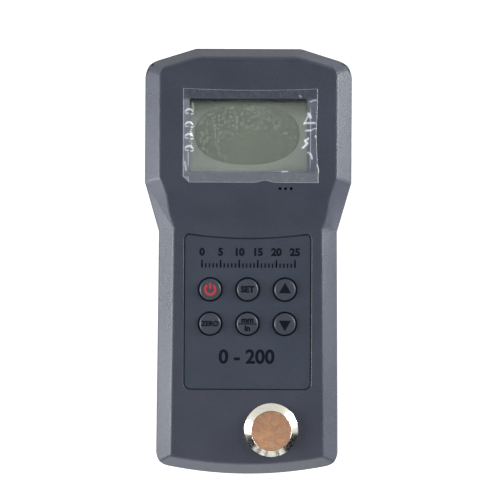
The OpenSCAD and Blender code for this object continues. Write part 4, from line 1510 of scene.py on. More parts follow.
@dataclass
class Keys:
    """Six press keys, each with a printed legend."""

    cap_radius: float = 3.15 * MM
    rounding: float = 0.6 * MM
    stem_radius: float = 1.25 * MM
    stem_reach: float = 0.3 * MM
    flange: float = 0.7 * MM
    crown: float = 0.03 * MM
    print_depth: float = 0.1 * MM
    word_weight: float = 0.05
    set_size: float = 2.5 * MM
    zero_size: float = 1.95 * MM
    unit_size: float = 2.3 * MM
    unit_places: Point = (1.1 * MM, -1.3 * MM)
    unit_bar: Point = (5.4 * MM, 0.3 * MM)
    arrow_radius: float = 2.05 * MM
    arrow_corner: float = 0.16 * MM
    crown_rings: tuple[Point, ...] = ((0.6, 0.3), (0.2, 0.0))
    rounding_end: float = 88
    rounding_steps: int = 10
    ring_steps: int = 60
    power_ring: Point = (1.12 * MM, 1.84 * MM)
    power_gap: float = math.radians(32)
    stroke_length: float = 1.7 * MM
    stroke_place: float = 1.02 * MM

    def build(self) -> None:
        """Turn one key, copy it to every place and print the legends."""
        pattern = self.cap()
        start = self.centre(Legend.POWER)
        for legend in Legend:
            cap = Bench.twin(pattern, f"cap_{legend.value}")
            Bench.place(cap, self.centre(legend) - start)
            hand_over(cap, KEY_PLASTIC, legend.body, legend.node)
            ink = RED_INK if legend is Legend.POWER else DARK_INK
            sign = self.sign(legend)
            sign.name = f"legend_{legend.value}"
            top = self.centre(legend)
            top.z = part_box(legend.node)[1].z - self.crown
            hand_over(Bench.place(sign, top), ink, legend.body)
        bpy.data.objects.remove(pattern)

    @staticmethod
    def centre(legend: Legend) -> Vector:
        """Middle of a key's box, at height zero."""
        low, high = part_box(legend.node)
        return Vector(((low.x + high.x) / 2, (low.y + high.y) / 2, 0))

    def cap(self) -> Object:
        """Turn the cap with its flange and stem, at the place of the first key.

        Returns:
            The first key.
        """
        low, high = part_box(Legend.POWER.node)
        flange_radius = (high.x - low.x) / 2
        flange_low = low.z + self.stem_reach
        flange_top = flange_low + self.flange
        shoulder = (self.cap_radius - self.rounding, high.z - self.rounding - self.crown)
        profile = [
            (self.stem_radius, low.z),
            (self.stem_radius, flange_low),
            (flange_radius, flange_low),
            (flange_radius, flange_top),
            (self.cap_radius, flange_top),
            *arc(shoulder, self.rounding, 0, self.rounding_end, self.rounding_steps),
            *[(share * shoulder[0], high.z - dip * self.crown) for share, dip in self.crown_rings],
        ]
        return Bench.place(Bench.turn("key_pattern", profile), self.centre(Legend.POWER))

    def sign(self, legend: Legend) -> Object:
        """Print one key's legend, centred on the origin.

        Args:
            legend: Key that it is for.

        Returns:
            The print.
        """
        if legend is Legend.POWER:
            return self.power_sign()
        if legend is Legend.UP:
            return self.arrow(90)
        if legend is Legend.DOWN:
            return self.arrow(-90)
        if legend is Legend.UNIT:
            return self.unit_sign()
        size = self.set_size if legend is Legend.SET else self.zero_size
        return self.word(legend.value.upper(), size)

    def word(self, text: str, size: float) -> Object:
        """Print a word, centred on the origin."""
        return Bench.letter(text, size, self.word_weight * size, self.print_depth)

    def arrow(self, turn: float) -> Object:
        """Print a solid triangle that points along an angle in degrees.

        Args:
            turn: Where it points, with 0 along +X.

        Returns:
            The print.
        """
        Bench.clear()
        bpy.ops.mesh.primitive_circle_add(vertices=3, radius=self.arrow_radius, fill_type="NGON")
        obj = Bench.thicken(Bench.named("arrow"), self.print_depth, self.arrow_corner, 3)
        return Bench.place(obj, (0, 0, 0), (0, 0, turn - 90))

    def power_sign(self) -> Object:
        """Print an open ring with a bar in its gap.

        Returns:
            The print.
        """
        inner, outer = self.power_ring
        Bench.clear()
        bpy.ops.mesh.primitive_circle_add(vertices=self.ring_steps, radius=inner)
        ring = Bench.named("ring")
        Bench.open_up(ring)
        mesh = bmesh.from_edit_mesh(ring.data)
        for vertex in mesh.verts:
            vertex.select_set(abs(math.atan2(vertex.co.x, vertex.co.y)) < self.power_gap)
        bmesh.update_edit_mesh(ring.data)
        bpy.ops.mesh.delete(type="VERT")
        bpy.ops.mesh.select_all(action="SELECT")
        bpy.ops.mesh.extrude_edges_move()
        scale = outer / inner
        bpy.ops.transform.resize(value=(scale, scale, 1), center_override=(0, 0, 0))
        bpy.ops.object.mode_set(mode="OBJECT")
        Bench.thicken(ring, self.print_depth)
        stroke = Bench.bar(outer - inner, self.stroke_length, self.print_depth)
        Bench.place(stroke, (0, self.stroke_place, 0))
        return Bench.join("power_sign", [ring, stroke])

    def unit_sign(self) -> Object:
        """Print the two length units, one over the other with a bar between.

        Returns:
            The print.
        """
        upper = Bench.place(self.word("mm", self.unit_size), (0, self.unit_places[0], 0))
        lower = Bench.place(self.word("in", self.unit_size), (0, self.unit_places[1], 0))
        middle = Bench.bar(*self.unit_bar, self.print_depth)
        return Bench.join("unit_sign", [upper, lower, middle])


@dataclass
class SnapDomes:
    """Six thin sprung domes on the board, one under each key."""

    skin: float = 0.15 * MM
    tip: float = 88.5
    pressed: float = 0.27
    steps: int = 10
    sides: int = 48

    def build(self) -> None:
        """Turn one dome and copy it under every key, each with a mesh of its own."""
        pattern = self.pattern()
        for legend in Legend:
            low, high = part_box(legend.dome)
            spot = ((low.x + high.x) / 2, (low.y + high.y) / 2, low.z)
            dome = Bench.place(Bench.twin(pattern, f"snap_{legend.dome}"), spot)
            hand_over(dome, DOME_STEEL, CASE, legend.dome)
            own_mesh(dome)
        bpy.data.objects.remove(pattern)

    def pattern(self) -> Object:
        """Turn the dome's shell, standing on the origin.

        Returns:
            The dome.
        """
        low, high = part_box(Legend.POWER.dome)
        half = (high.x - low.x) / 2
        height = high.z - low.z
        outer = (half**2 + height**2) / (2 * height)
        inner = outer - self.skin
        centre = (0.0, height - outer)
        inner_foot = math.degrees(math.asin((outer - height) / inner))
        outer_foot = math.degrees(math.asin((outer - height) / outer))
        profile = [
            *arc(centre, inner, self.tip, inner_foot, self.steps),
            *arc(centre, outer, outer_foot, self.tip, self.steps),
        ]
        return Bench.turn("dome_pattern", profile, sides=self.sides)


@dataclass
class TestBlock:
    """The copper-coloured test disc and the bright ring that holds it."""

    disc_edge: float = 0.12 * MM
    ring_bore: float = 5.8 * MM
    ring_shank: float = 7.05 * MM
    ring_rise: float = 2.0 * MM
    ring_lip: float = 0.3 * MM
    ring_edge: float = 0.14 * MM
    sides: int = 144

    def build(self) -> None:
        """Turn the ring and the disc."""
        low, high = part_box("block_ring")
        centre = Vector(((low.x + high.x) / 2, (low.y + high.y) / 2, 0))
        ring = Bench.place(self.ring(low, high), centre)
        steel = TurnedMetal("Turned ring steel", "ring_steel", RING_LIGHT, RING_DARK, tuple(centre))
        hand_over(ring, steel, CASE, "block_ring")
        disc = Bench.place(self.disc(), centre)
        copper = LappedCopper(
            "Lapped copper", "block_copper", COPPER_LIGHT, COPPER_DARK, COPPER_MARK, tuple(centre)
        )
        hand_over(disc, copper, CASE, "test_block")

    def ring(self, low: Vector, high: Vector) -> Object:
        """Turn the ring's section: shank, shoulder and the sloping bright face.

        Args:
            low: Lowest corner of its CAD box.
            high: Highest corner of its CAD box.

        Returns:
            The ring, round the frame's Z axis.
        """
        reach = (high.x - low.x) / 2
        face = high.z - self.ring_rise
        edge = self.ring_edge
        profile = [
            (self.ring_bore, low.z),
            (self.ring_shank, low.z),
            (self.ring_shank, face),
            (reach, face),
            (reach, face + self.ring_lip - edge),
            (reach - 0.35 * edge, face + self.ring_lip + 0.2 * edge),
            (self.ring_bore + 1.2 * edge, high.z - 0.5 * edge),
            (self.ring_bore + 0.5 * edge, high.z),
            (self.ring_bore, high.z - 0.5 * edge),
        ]
        return Bench.turn("ring_turned", profile, bored=True, sides=self.sides)

    def disc(self) -> Object:
        """Turn the disc with a small chamfer round its face.

        Returns:
            The disc, round the frame's Z axis.
        """
        low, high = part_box("test_block")
        radius = (high.x - low.x) / 2
        edge = self.disc_edge
        profile = [
            (radius, low.z),
            (radius, high.z - edge),
            (radius - edge, high.z),
            (radius / 3, high.z),
        ]
        return Bench.turn("disc_lapped", profile, sides=self.sides)


@dataclass(frozen=True)
class Crease:
    """One raised wrinkle of the film, along a bowed line between two points, in millimetres, with a painted
    glint along its crest.
    """

    start: Point
    end: Point
    bow: float = 0.0
    # Strength of the painted glint: whiteness along the crest that stands in for light glinting off the
    # crease.
    glint: float = 0.6
    width: float = 0.2
    height: float = 0.11

    def crest(self, x: np.ndarray, y: np.ndarray) -> np.ndarray:
        """How near points lie to the wrinkle's crest.

        Args:
            x: Where the points lie across the gauge, in millimetres.
            y: Where the points lie along the gauge, in millimetres.

        Returns:
            1 on the crest, falling to 0 beside it and at its ends.
        """
        run = (self.end[0] - self.start[0], self.end[1] - self.start[1])
        length = math.hypot(*run)
        ahead = (x - self.start[0], y - self.start[1])
        along = (ahead[0] * run[0] + ahead[1] * run[1]) / length**2
        across = (ahead[1] * run[0] - ahead[0] * run[1]) / length
        across = across - 4 * self.bow * along * (1 - along)
        taper = np.clip(8 * np.minimum(along, 1 - along), 0, 1)
        return taper * hump(across, 0.0, self.width)


def ease(value: np.ndarray) -> np.ndarray:
    """Clip numbers to 0 and 1, with a soft start and end."""
    clipped = np.clip(value, 0, 1)
    return clipped * clipped * (3 - 2 * clipped)


def ramp(value: np.ndarray, start: float, length: float) -> np.ndarray:
    """Rise softly from 0 at a start to 1 a length further on."""
    return ease((value - start) / length)


def hump(value: np.ndarray, centre: float, width: float) -> np.ndarray:
    """A bell that is 1 at its centre."""
    return np.exp(-(((value - centre) / width) ** 2))


# In these creases the fourth value is the painted glint along the crest.
LEFT_CURLS = tuple(
    crease
    for y in (43.8, 40.0, 36.6, 33.1)
    for crease in (
        Crease((-18.5, y - 0.1), (-15.9, y - 0.2), 0.8, 1.0, 0.24),
        Crease((-18.4, y - 0.3), (-17.2, y - 0.55), -0.15, 0.6, 0.13),
        Crease((-16.9, y - 0.75), (-15.8, y - 0.35), -0.2, 0.75, 0.15),
    )
)
RIGHT_FOLDS = (
    Crease((17.93, 46.2), (17.93, 26.8), 0.1, 0.3, 0.12),
    Crease((17.2, 43.6), (18.1, 41.8), 0.1, 1.0, 0.3),
    Crease((17.3, 42.9), (16.0, 40.0), 0.1, 0.6, 0.2),
    Crease((16.0, 40.55), (19.7, 40.6), 0.0, 0.85),
    Crease((16.6, 38.35), (18.1, 38.4), 0.05, 0.85),
    Crease((17.9, 38.3), (19.9, 39.1), 0.1, 0.5, 0.14),
    Crease((17.5, 36.4), (16.4, 35.6), 0.25, 1.0, 0.22),
    Crease((16.4, 35.8), (17.3, 34.8), -0.25, 1.0, 0.22),
    Crease((17.3, 35.0), (15.5, 33.2), 0.15, 1.0, 0.26),
    Crease((19.3, 36.9), (19.9, 36.2), 0.0, 0.6, 0.2),
    Crease((17.0, 32.1), (18.2, 31.4), 0.15, 0.5),
    Crease((18.0, 31.8), (18.5, 29.9), 0.1, 0.75),
    Crease((17.6, 46.6), (19.9, 47.3), 0.1, 0.4),
    Crease((19.9, 28.6), (20.5, 26.0), 0.25, 0.7),
)
EDGE_FOLDS = (
    Crease((-17.4, 32.3), (-17.4, 27.6), 0.05, 0.3, 0.12),
    Crease((-16.3, 46.4), (-16.0, 43.6), 0.1, 0.3, 0.2),
    Crease((9.4, 26.45), (11.7, 26.45), 0.05, 0.45),
    Crease((14.5, 48.6), (15.4, 47.9), 0.1, 0.3),
    Crease((-15.4, 42.6), (-4.0, 45.9), 0.6, 0.06, 0.3, 0.03),
    Crease((-18.5, 29.6), (-18.0, 26.4), 0.1, 0.35),
)


@dataclass
class ScreenFilm:
    """The thin clear film over the display, laid on the face and clinging to the lens, in millimetres."""

    thickness: float = 0.04
    lift: float = 0.01
    columns: int = 232
    rows: int = 162
    opening: tuple[float, float, float, float] = (0.0, 37.0, 17.1, 10.6)
    cling: tuple[float, float, float, float] = (-0.35, 37.3, 15.3, 8.85)
    cling_power: float = 2.25
    fold: float = 1.6
    slack: float = 0.55
    top_dip: float = 0.5
    foot_notch: float = 0.6
    right_pulls: tuple[Spot, ...] = ((-0.35, 0.05, 0.45), (0.45, -0.76, 0.12), (0.3, -1.0, 0.1))
    side_haze: Point = (0.115, 0.05)
    foot_haze: float = 0.086
    top_haze: float = 0.003
    loose_haze: float = 0.03
    loose_clearing: float = 0.025
    edge_haze: float = 0.3
    wetness: float = 0.78
    # The next four set painted shade and light: the top of the opening, the rim line, the rim at the ends,
    # and the lightened ends of the patch.
    painted_top_shade: float = 0.6
    painted_rim_shade: float = 0.22
    end_rim_shade: float = 0.3
    painted_light_ends: Point = (0.28, 0.36)
    bare_spot: Point = (3.0, -4.0)
    bare_size: Point = (9.3, 4.2)
    face_bubbles: float = 0.2
    bare_bubbles: float = 0.1
    # Extra bubbles on the left: partly denser bubbles there, partly painted light on the veil that the
    # opening's left wall shades.
    left_bubbles_and_light: float = 0.35
    far_loss: float = 0.6
    creases: tuple[Crease, ...] = LEFT_CURLS + RIGHT_FOLDS + EDGE_FOLDS

    def build(self) -> None:
        low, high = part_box("screen_film")
        middle = (low + high) / 2
        Bench.clear()
        bpy.ops.mesh.primitive_grid_add(
            x_subdivisions=self.columns, y_subdivisions=self.rows, size=1, location=(middle.x, middle.y, 0)
        )
        film = Bench.named("film_sheet")
        film.scale = (high.x - low.x, high.y - low.y, 1)
        Bench.settle(film)
        points = np.empty(3 * len(film.data.vertices))
        film.data.vertices.foreach_get("co", points)
        flat = points.reshape(-1, 3) / MM
        moved, masks = self.shape(flat, low / MM, high / MM)
        film.data.vertices.foreach_set("co", (moved * MM).ravel())
        for name, values in masks.items():
            film.data.attributes.new(name, "FLOAT", "POINT").data.foreach_set("value", values)
        film.data.update()
        Bench.modify(film, "SOLIDIFY", thickness=self.thickness * MM, offset=1.0, use_even_offset=False)
        bpy.ops.object.shade_smooth()
        hand_over(film, FILM, CASE, "screen_film")

    def shape(
        self, flat: np.ndarray, low: Vector, high: Vector
    ) -> tuple[np.ndarray, dict[str, np.ndarray]]:
        """Pull, fold and sink the flat film.

        Args:
            flat: Points of the flat film in millimetres.
            low: Lowest corner of the film's place.
            high: Highest corner of the film's place.

        Returns:
            The moved points, and the finish's masks at each of them.
        """
        x, y = flat[:, 0].copy(), flat[:, 1].copy()
        u = (2 * x - low.x - high.x) / (high.x - low.x)
        v = (2 * y - low.y - high.y) / (high.y - low.y)
        y -= self.top_dip * ramp(v, start=0.8, length=0.2) * (1 - u * u)
        right = ramp(u, start=0.85, length=0.15)
        for pull, place, width in self.right_pulls:
            x += pull * right * hump(v, place, width)
        y += self.foot_notch * ramp(-v, start=0.85, length=0.15) * hump(u, centre=0.22, width=0.09)
        masks = {
            CrinkledFilm.HAZE_AND_GLINT: self.haze_and_glint(x, y, u, v),
            CrinkledFilm.CLING_AND_SHADE: self.clinging(x, y),
            CrinkledFilm.BUBBLY: self.bubbly(x, y),
        }
        z = np.full_like(x, low.z + self.lift)
        z -= self.sag(x, y) * (low.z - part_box("display_window")[1].z / MM)
        for crease in self.creases:
            z += crease.height * crease.crest(x, y)
        beyond = np.maximum(self.fold - (x - low.x) - (y - low.y), 0)
        x += beyond
        y += beyond
        z += np.where(beyond > 0, 2 * self.thickness, 0)
        return np.stack([x, y, z], axis=1), masks

    def reach(self, x: np.ndarray, y: np.ndarray) -> np.ndarray:
        """How far out points lie from the middle of the patch that clings, 1 on its rim.

        Args:
            x: Where the points lie across the gauge, in millimetres.
            y: Where the points lie along the gauge, in millimetres.

        Returns:
            The share of the way from the middle to the rim.
        """
        across, along, half_x, half_y = self.cling
        power = self.cling_power
        sides = (np.abs(x - across) / half_x) ** power + (np.abs(y - along) / half_y) ** power
        return sides ** (1 / power)

    def inset(self, x: np.ndarray, y: np.ndarray) -> np.ndarray:
        """How far in points lie from the opening's edge, 0 on the edge and outside it."""
        across, along, half_x, half_y = self.opening
        return np.clip(1 - np.maximum(np.abs(x - across) / half_x, np.abs(y - along) / half_y), 0, 1)

    def sag(self, x: np.ndarray, y: np.ndarray) -> np.ndarray:
        """How deep the film sinks, from 0 on the face to 1 on the lens.

        Args:
            x: Where the points lie across the gauge, in millimetres.
            y: Where the points lie along the gauge, in millimetres.

        Returns:
            The share of the way down to the lens.
        """
        out = np.clip(self.reach(x, y) - 1, 0, None)
        inner = self.inset(x, y)
        return ease(inner / (inner + self.slack * out + 1e-9))

    def haze_and_glint(self, x: np.ndarray, y: np.ndarray, u: np.ndarray, v: np.ndarray) -> np.ndarray:
        """How milky the film is, with painted glints on its creases: most below the opening, least where it
        clings.

        Args:
            x: Where the points lie across the gauge.
            y: Where the points lie along the gauge.
            u: The same across the flat film, from -1 to 1.
            v: The same along the flat film, from -1 to 1.

        Returns:
            The haze of each point, from 0 to 1.
        """
        on_face = self.inset(x, y) <= 0
        side = np.where(u < 0, *self.side_haze)
        foot = ramp(-v, start=0.72, length=0.12)
        top = ramp(v, start=0.72, length=0.1)
        band = side * (1 - foot) * (1 - top) + self.foot_haze * foot + self.top_haze * top
        above = ramp(y, start=self.cling[1], length=self.cling[3])
        loose = ramp(self.reach(x, y), start=0.985, length=0.05)
        haze_and_glint = np.where(on_face, band, (self.loose_haze - self.loose_clearing * above) * loose)
        edge = ramp(np.maximum(np.abs(u), np.abs(v)), start=0.988, length=0.012)
        haze_and_glint = haze_and_glint + self.edge_haze * edge
        # Painted glints: each crease's crest is whitened to stand for light glinting off it.
        for crease in self.creases:
            haze_and_glint = haze_and_glint + crease.glint * crease.crest(x, y)
        return np.clip(haze_and_glint, 0, 1)

    def clinging(self, x: np.ndarray, y: np.ndarray) -> np.ndarray:
        """How closely the film clings to the lens, with a painted dark line round the rim, painted shade
        towards the top of the opening and painted light at both ends of the patch.

        Args:
            x: Where the points lie across the gauge, in millimetres.
            y: Where the points lie along the gauge, in millimetres.

        Returns:
            0 where the film is loose, up to 1 where it clings.
        """
        reach = self.reach(x, y)
        out = x - self.cling[0]
        # Painted light: the ends of the patch cling less, which lightens them where the opening's side
        # walls shade the display.
        left, right = self.painted_light_ends
        ends = left * ramp(-out, start=8.4, length=2.0) + right * ramp(out, start=5.5, length=8.5)
        # Painted shade: a darker line round the rim for the dark that the meniscus reflects, stronger at
        # the ends.
        rim = (self.painted_rim_shade + self.end_rim_shade * ends) * hump(reach, centre=0.985, width=0.02)
        inside = 1 - ramp(reach, start=0.982, length=0.03)
        patch = inside * (self.wetness * (1 - ends) + rim)
        # Painted shade: the top of the opening counts as clinging, which darkens it as if in shadow.
        above = ramp(y - self.cling[1], start=4.0, length=4.5) * (self.inset(x, y) > 0)
        return np.maximum(patch, self.painted_top_shade * above)

    def bubbly(self, x: np.ndarray, y: np.ndarray) -> np.ndarray:
        """How thickly bubbles lie under the film: round the patch that clings, least at its lower right,
        and thicker on the left, partly as painted light.

        Args:
            x: Where the points lie across the gauge, in millimetres.
            y: Where the points lie along the gauge, in millimetres.

        Returns:
            0 where there are no bubbles, and more where they lie thicker.
        """
        across, along, _, _ = self.cling
        bare_x, bare_y = self.bare_spot
        wide, high = self.bare_size
        bare = np.hypot((x - across - bare_x) / wide, (y - along - bare_y) / high)
        spread = self.bare_bubbles + (1 - self.bare_bubbles) * ramp(bare, start=0.8, length=0.7)
        far = ramp(x - across, start=5.0, length=5.0) * ramp(y - along, start=0.0, length=4.0)
        inside = 1 - ramp(self.reach(x, y), start=0.92, length=0.06)
        on_face = self.face_bubbles * (self.inset(x, y) <= 0)
        # More bubbles to the left: partly the denser bubbles there, partly painted light where the
        # opening's left wall shades the veil.
        thick = 1 + self.left_bubbles_and_light * ramp(across - x, start=8.0, length=2.5)
        return inside * thick * spread * (1 - self.far_loss * far) + on_face


@dataclass
class ProbeEnd:
    """The end panel's turned probe sockets and their nuts."""

    nodes: dict[str, Object]
    bore: float = 2.5 * MM
    bore_depth: float = 6.5 * MM
    throat: float = 2.0 * MM
    throat_depth: float = 2.0 * MM
    barrel: float = 3.45 * MM
    tail: float = 3.35 * MM
    flange_depth: float = 1.4 * MM
    seat: float = 0.05 * MM
    edge: float = 0.2 * MM
    nut_edge: float = 0.18 * MM
    nut_turn: float = math.radians(40)

    def build(self) -> None:
        """Turn one socket, copy it to the second place and ease the nuts."""
        low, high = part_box("socket_send")
        centre = (low + high) / 2
        pattern = Bench.place(self.socket(low, high), (centre.x, 0, centre.z), (-90, 0, 0))
        for node in ("socket_send", "socket_receive"):
            place = sum(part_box(node), Vector()) / 2
            socket = Bench.place(Bench.twin(pattern, f"turned_{node}"), (place.x - centre.x, 0, 0))
            name = f"Turned {node.replace('_', ' ')}"
            brass = TurnedMetal(
                name, "socket_brass", SOCKET_LIGHT, SOCKET_DARK, (place.x, 0, place.z), (-90, 0, 0)
            )
            hand_over(socket, brass, CASE, node)
        bpy.data.objects.remove(pattern)
        nuts = Bench.copy_node(self.nodes["socket_nuts"], "panel_nuts")
        Bench.ease_edges(nuts, lambda edge: self.nut_edge * self.is_outer(edge), self.nut_edge)
        hand_over(nuts, NUT_PLATING, CASE, "socket_nuts")

    def is_outer(self, edge: bmesh.types.BMEdge) -> bool:
        """True on the long corners and the front rims of the nuts."""
        return edge.calc_face_angle_signed(0.0) > self.nut_turn

    def socket(self, low: Vector, high: Vector) -> Object:
        """Turn the socket's section, from the tail round the nose into the bore.

        Args:
            low: Lowest corner of its CAD box.
            high: Highest corner of its CAD box.

        Returns:
            The socket, round the frame's Z axis.
        """
        panel_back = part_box("end_panel")[0].y
        flange = (high.x - low.x) / 2
        flange_low = panel_back - self.flange_depth
        bore_low = high.y - self.bore_depth
        edge = self.edge
        profile = [
            (self.tail, low.y),
            (self.tail, flange_low),
            (flange, flange_low),
            (flange, panel_back - self.seat),
            (self.barrel, panel_back - self.seat),
            (self.barrel, high.y - edge),
            (self.barrel - edge, high.y),
            (self.bore + edge, high.y),
            (self.bore, high.y - edge),
            (self.bore, bore_low),
            (self.throat, bore_low),
            (self.throat, bore_low - self.throat_depth),
        ]
        return Bench.turn("socket_pattern", profile)


@dataclass
class BatteryBay:
    """Four dry cells, alternately turned, on coil springs."""

    nodes: dict[str, Object]
    count: int = 4
    button: float = 1.9 * MM
    button_length: float = 0.8 * MM
    crimp: float = 0.7 * MM
    crimp_turn: float = 80
    crimp_steps: int = 6
    sides: int = 64
    button_edge: float = 0.2 * MM
    collar: float = 3.0 * MM
    band: float = 11 * MM

    def build(self) -> None:
        """Turn one cell, copy it to every place and dress the springs."""
        low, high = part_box("cell_1")
        pattern = self.cell((high.x - low.x) / 2, high.y - low.y)
        for number in range(1, self.count + 1):
            low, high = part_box(f"cell_{number}")
            centre = (low + high) / 2
            up = number % 2 == 1
            spot = (centre.x, low.y if up else high.y, centre.z)
            turn = (-90 if up else 90, 0, 0)
            cell = Bench.place(Bench.twin(pattern, f"dry_cell_{number}"), spot, turn)
            hand_over(cell, self.sleeve(up, low, high), CASE, f"cell_{number}")
            spring = Bench.copy_node(self.nodes[f"spring_{number}"], f"coil_{number}")
            hand_over(Bench.tidy(spring), CONTACT_STEEL, CASE, f"spring_{number}")
        bpy.data.objects.remove(pattern)

    def sleeve(self, up: bool, low: Vector, high: Vector) -> CellSleeve:
        """Finish of a cell, with its coloured band at the button end.

        Args:
            up: True where the button looks to +Y.
            low: Lowest corner of its CAD box.
            high: Highest corner of its CAD box.

        Returns:
            The finish.
        """
        if up:
            return CellSleeve("Cell sleeve up", "cell_sleeve", SLEEVE_BODY, SLEEVE_END, high.y - self.band)
        return CellSleeve("Cell sleeve down", "cell_sleeve", SLEEVE_END, SLEEVE_BODY, low.y + self.band)

    def cell(self, radius: float, length: float) -> Object:
        """Turn a cell with crimped ends, standing on its flat end at the origin.

        Args:
            radius: Radius of the cell.
            length: Length with the button.

        Returns:
            The cell.
        """
        body = length - self.button_length
        crimp = self.crimp
        profile = [
            (radius - 1.6 * crimp, 0.3 * crimp),
            (radius - 1.4 * crimp, 0.0),
            (radius - crimp, 0.0),
            *arc((radius - crimp, crimp), crimp, -self.crimp_turn, 0, self.crimp_steps),
            *arc((radius - crimp, body - crimp), crimp, 0, self.crimp_turn, self.crimp_steps),
            (radius - 1.5 * crimp, body),
            (radius - 1.7 * crimp, body - 0.4 * crimp),
            (self.collar, body - 0.4 * crimp),
            (self.button, body - 0.2 * crimp),
            (self.button, length - self.button_edge),
            (self.button - self.button_edge, length),
            (self.button / 2, length),
        ]
        return Bench.turn("cell_pattern", profile, sides=self.sides)


@dataclass
class Inside:
    """The pieces that keep their CAD form, and the screws."""

    nodes: dict[str, Object]
    screw_edge: float = 0.12 * MM

    def build(self) -> None:
        """Dress every piece that is carried over, and ease the case screws."""
        for finish, names in INNER_FINISHES.items():
            for name in names:
                finish.dress(self.nodes[name])
        screws = Bench.copy_node(self.nodes["case_screws"], "screws_turned")
        Bench.ease_edges(screws, lambda edge: self.screw_edge * self.is_head_edge(edge), self.screw_edge)
        hand_over(screws, CLIP_STEEL, CASE, "case_screws")

    @staticmethod
    def is_head_edge(edge: bmesh.types.BMEdge) -> bool:
        """True on the rims of the screw heads.

        Args:
            edge: Edge of the screws.

        Returns:
            Whether the edge is rounded.
        """
        slopes = sorted(face.normal.z for face in edge.link_faces)
        convex = edge.calc_face_angle_signed(0.0) > 0
        return convex and slopes[0] < -LEVEL and abs(slopes[1]) < UPRIGHT


@dataclass(frozen=True)
class SoftBox:
    """A soft lamp that looks at a point, mirrored in glossy pieces or not."""

    name: str
    spot: Spot
    aim: Spot
    size: Point
    power: float
    tint: Spot = (1.0, 1.0, 1.0)
    mirrored: bool = True

    def build(self) -> None:
        """Hang the lamp and turn it to its point."""
        Bench.clear()
        bpy.ops.object.light_add(type="AREA", location=self.spot)
        lamp = bpy.context.object
        lamp.name = self.name
        lamp.data.shape = "RECTANGLE"
        lamp.data.size, lamp.data.size_y = self.size
        lamp.data.energy = self.power
        lamp.data.color = self.tint
        lamp.visible_glossy = self.mirrored
        lamp.rotation_euler = (Vector(self.aim) - Vector(self.spot)).to_track_quat("-Z", "Y").to_euler()


LAMPS = (
    SoftBox("lamp_right", (0.45, 0.125, 0.14), (0.0, 0.05, 0.01), (0.22, 0.22), 2.42),
    SoftBox("lamp_left", (-0.45, -0.05, 0.14), (0.0, -0.04, 0.01), (0.22, 0.22), 2.35),
    SoftBox("lamp_foot", (0.0, -0.3, 0.009), (0.0, -0.06, 0.009), (0.3, 0.016), 0.52, mirrored=False),
    SoftBox(
        "lamp_warm", (0.0, -0.11, 0.075), (0.0, -0.06, 0.017), (0.12, 0.04), 0.018,
        tint=(1.0, 0.7, 0.5), mirrored=False,
    ),
)


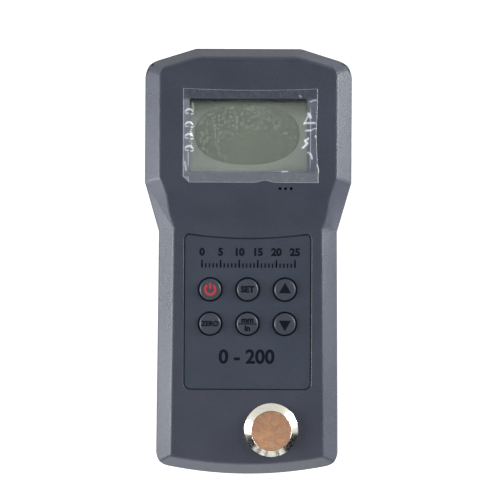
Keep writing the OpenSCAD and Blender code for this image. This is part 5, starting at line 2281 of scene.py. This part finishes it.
@dataclass
class Studio:
    """A pale floor, soft lamps low at the sides, and a camera straight above."""

    floor_size: float = 4.0
    floor_gap: float = 0.02 * MM
    camera_spot: Spot = (0.65 * MM, 3.7 * MM, 340 * MM)
    camera_roll: float = 0.28
    camera_lens: float = 77.76
    camera_sensor: float = 36
    camera_near: float = 0.01
    ambient: float = 0.24
    zenith: float = 0.4
    dim: float = 0.06
    wall_fade: Point = (0.3, 0.6)
    zenith_fade: Point = (0.85, 0.97)
    flag_reach: float = 130 * MM
    flag_height: float = 70 * MM
    flags: tuple[tuple[float, float], ...] = (
        (164, 22), (18, 22), (212, 96), (322, 110), (244, 14), (261, 9), (284, 13),
    )

    def build(self) -> None:
        """Set up floor, world, lamps and camera."""
        self.floor()
        self.world()
        for lamp in LAMPS:
            lamp.build()
        for number, (bearing, width) in enumerate(self.flags):
            self.flag(f"flag_{number}", bearing, width * MM)
        self.camera()
        bpy.context.scene.view_settings.view_transform = "Standard"

    def floor(self) -> None:
        """Lay a floor that looks white from afar and still takes a shadow."""
        Bench.clear()
        bpy.ops.mesh.primitive_plane_add(size=self.floor_size, location=(0, 0, -self.floor_gap))
        floor = Bench.settle(Bench.named("floor"))
        PALE_FLOOR.dress(floor)

    def flag(self, name: str, bearing: float, width: float) -> None:
        """Stand a dark card by the test block, which only bright metal mirrors.

        Args:
            name: Name of the card.
            bearing: Where it stands from the block, in degrees from +X.
            width: Width of the card.
        """
        block = sum(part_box("block_ring"), Vector()) / 2
        turn = math.radians(bearing)
        spot = (block.x + self.flag_reach * math.cos(turn), block.y + self.flag_reach * math.sin(turn))
        Bench.clear()
        bpy.ops.mesh.primitive_plane_add(size=1)
        card = Bench.named(name)
        card.scale = (width, self.flag_height, 1)
        Bench.place(Bench.settle(card), (*spot, self.flag_height / 2), (90, 0, bearing - 90))
        FLAG_CLOTH.dress(card)
        card.visible_camera = card.visible_diffuse = card.visible_transmission = False

    def world(self) -> None:
        """Light the room evenly, with a darker ceiling in what metal and film mirror."""
        world = bpy.data.worlds.new("Studio")
        bpy.context.scene.world = world
        world.use_nodes = True
        world.node_tree.nodes.clear()
        graph = Graph(world.node_tree)
        path = graph.add("ShaderNodeLightPath").outputs
        up = graph.along(graph.add("ShaderNodeTexCoord").outputs["Generated"], "Z")
        low = graph.span(up, self.wall_fade, (1.0, self.dim), smooth=True)
        high = graph.span(up, self.zenith_fade, (0.0, self.zenith), smooth=True)
        mirrored = graph.math("MAXIMUM", low, high)
        level = graph.math("MULTIPLY", path["Is Glossy Ray"], mirrored)
        level = graph.math("ADD", level, graph.math("MULTIPLY", path["Is Diffuse Ray"], self.ambient))
        level = graph.math("ADD", level, path["Is Camera Ray"])
        level = graph.math("ADD", level, path["Is Transmission Ray"], clamp=True)
        sky = graph.add("ShaderNodeBackground", {"Color": WHITE, "Strength": level})
        graph.add("ShaderNodeOutputWorld", {"Surface": sky.outputs[0]})

    def camera(self) -> None:
        """Look straight down on the gauge."""
        Bench.clear()
        turn = (0, 0, math.radians(self.camera_roll))
        bpy.ops.object.camera_add(location=self.camera_spot, rotation=turn)
        camera = bpy.context.object
        camera.name = "camera"
        camera.data.lens = self.camera_lens
        camera.data.sensor_width = self.camera_sensor
        camera.data.clip_start = self.camera_near
        bpy.context.scene.camera = camera


def main() -> None:
    """Build every sub-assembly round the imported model, then the studio."""
    logging.basicConfig(level=logging.INFO, format="%(name)s: %(message)s")
    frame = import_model()
    nodes = frame["nodes"]
    Inside(nodes).build()
    CaseShells(nodes).build()
    KeypadPlate(nodes).build()
    Keys().build()
    SnapDomes().build()
    TestBlock().build()
    ScreenFilm().build()
    ProbeEnd(nodes).build()
    BatteryBay(nodes).build()
    Studio().build()


if __name__ == "__main__":
    main()
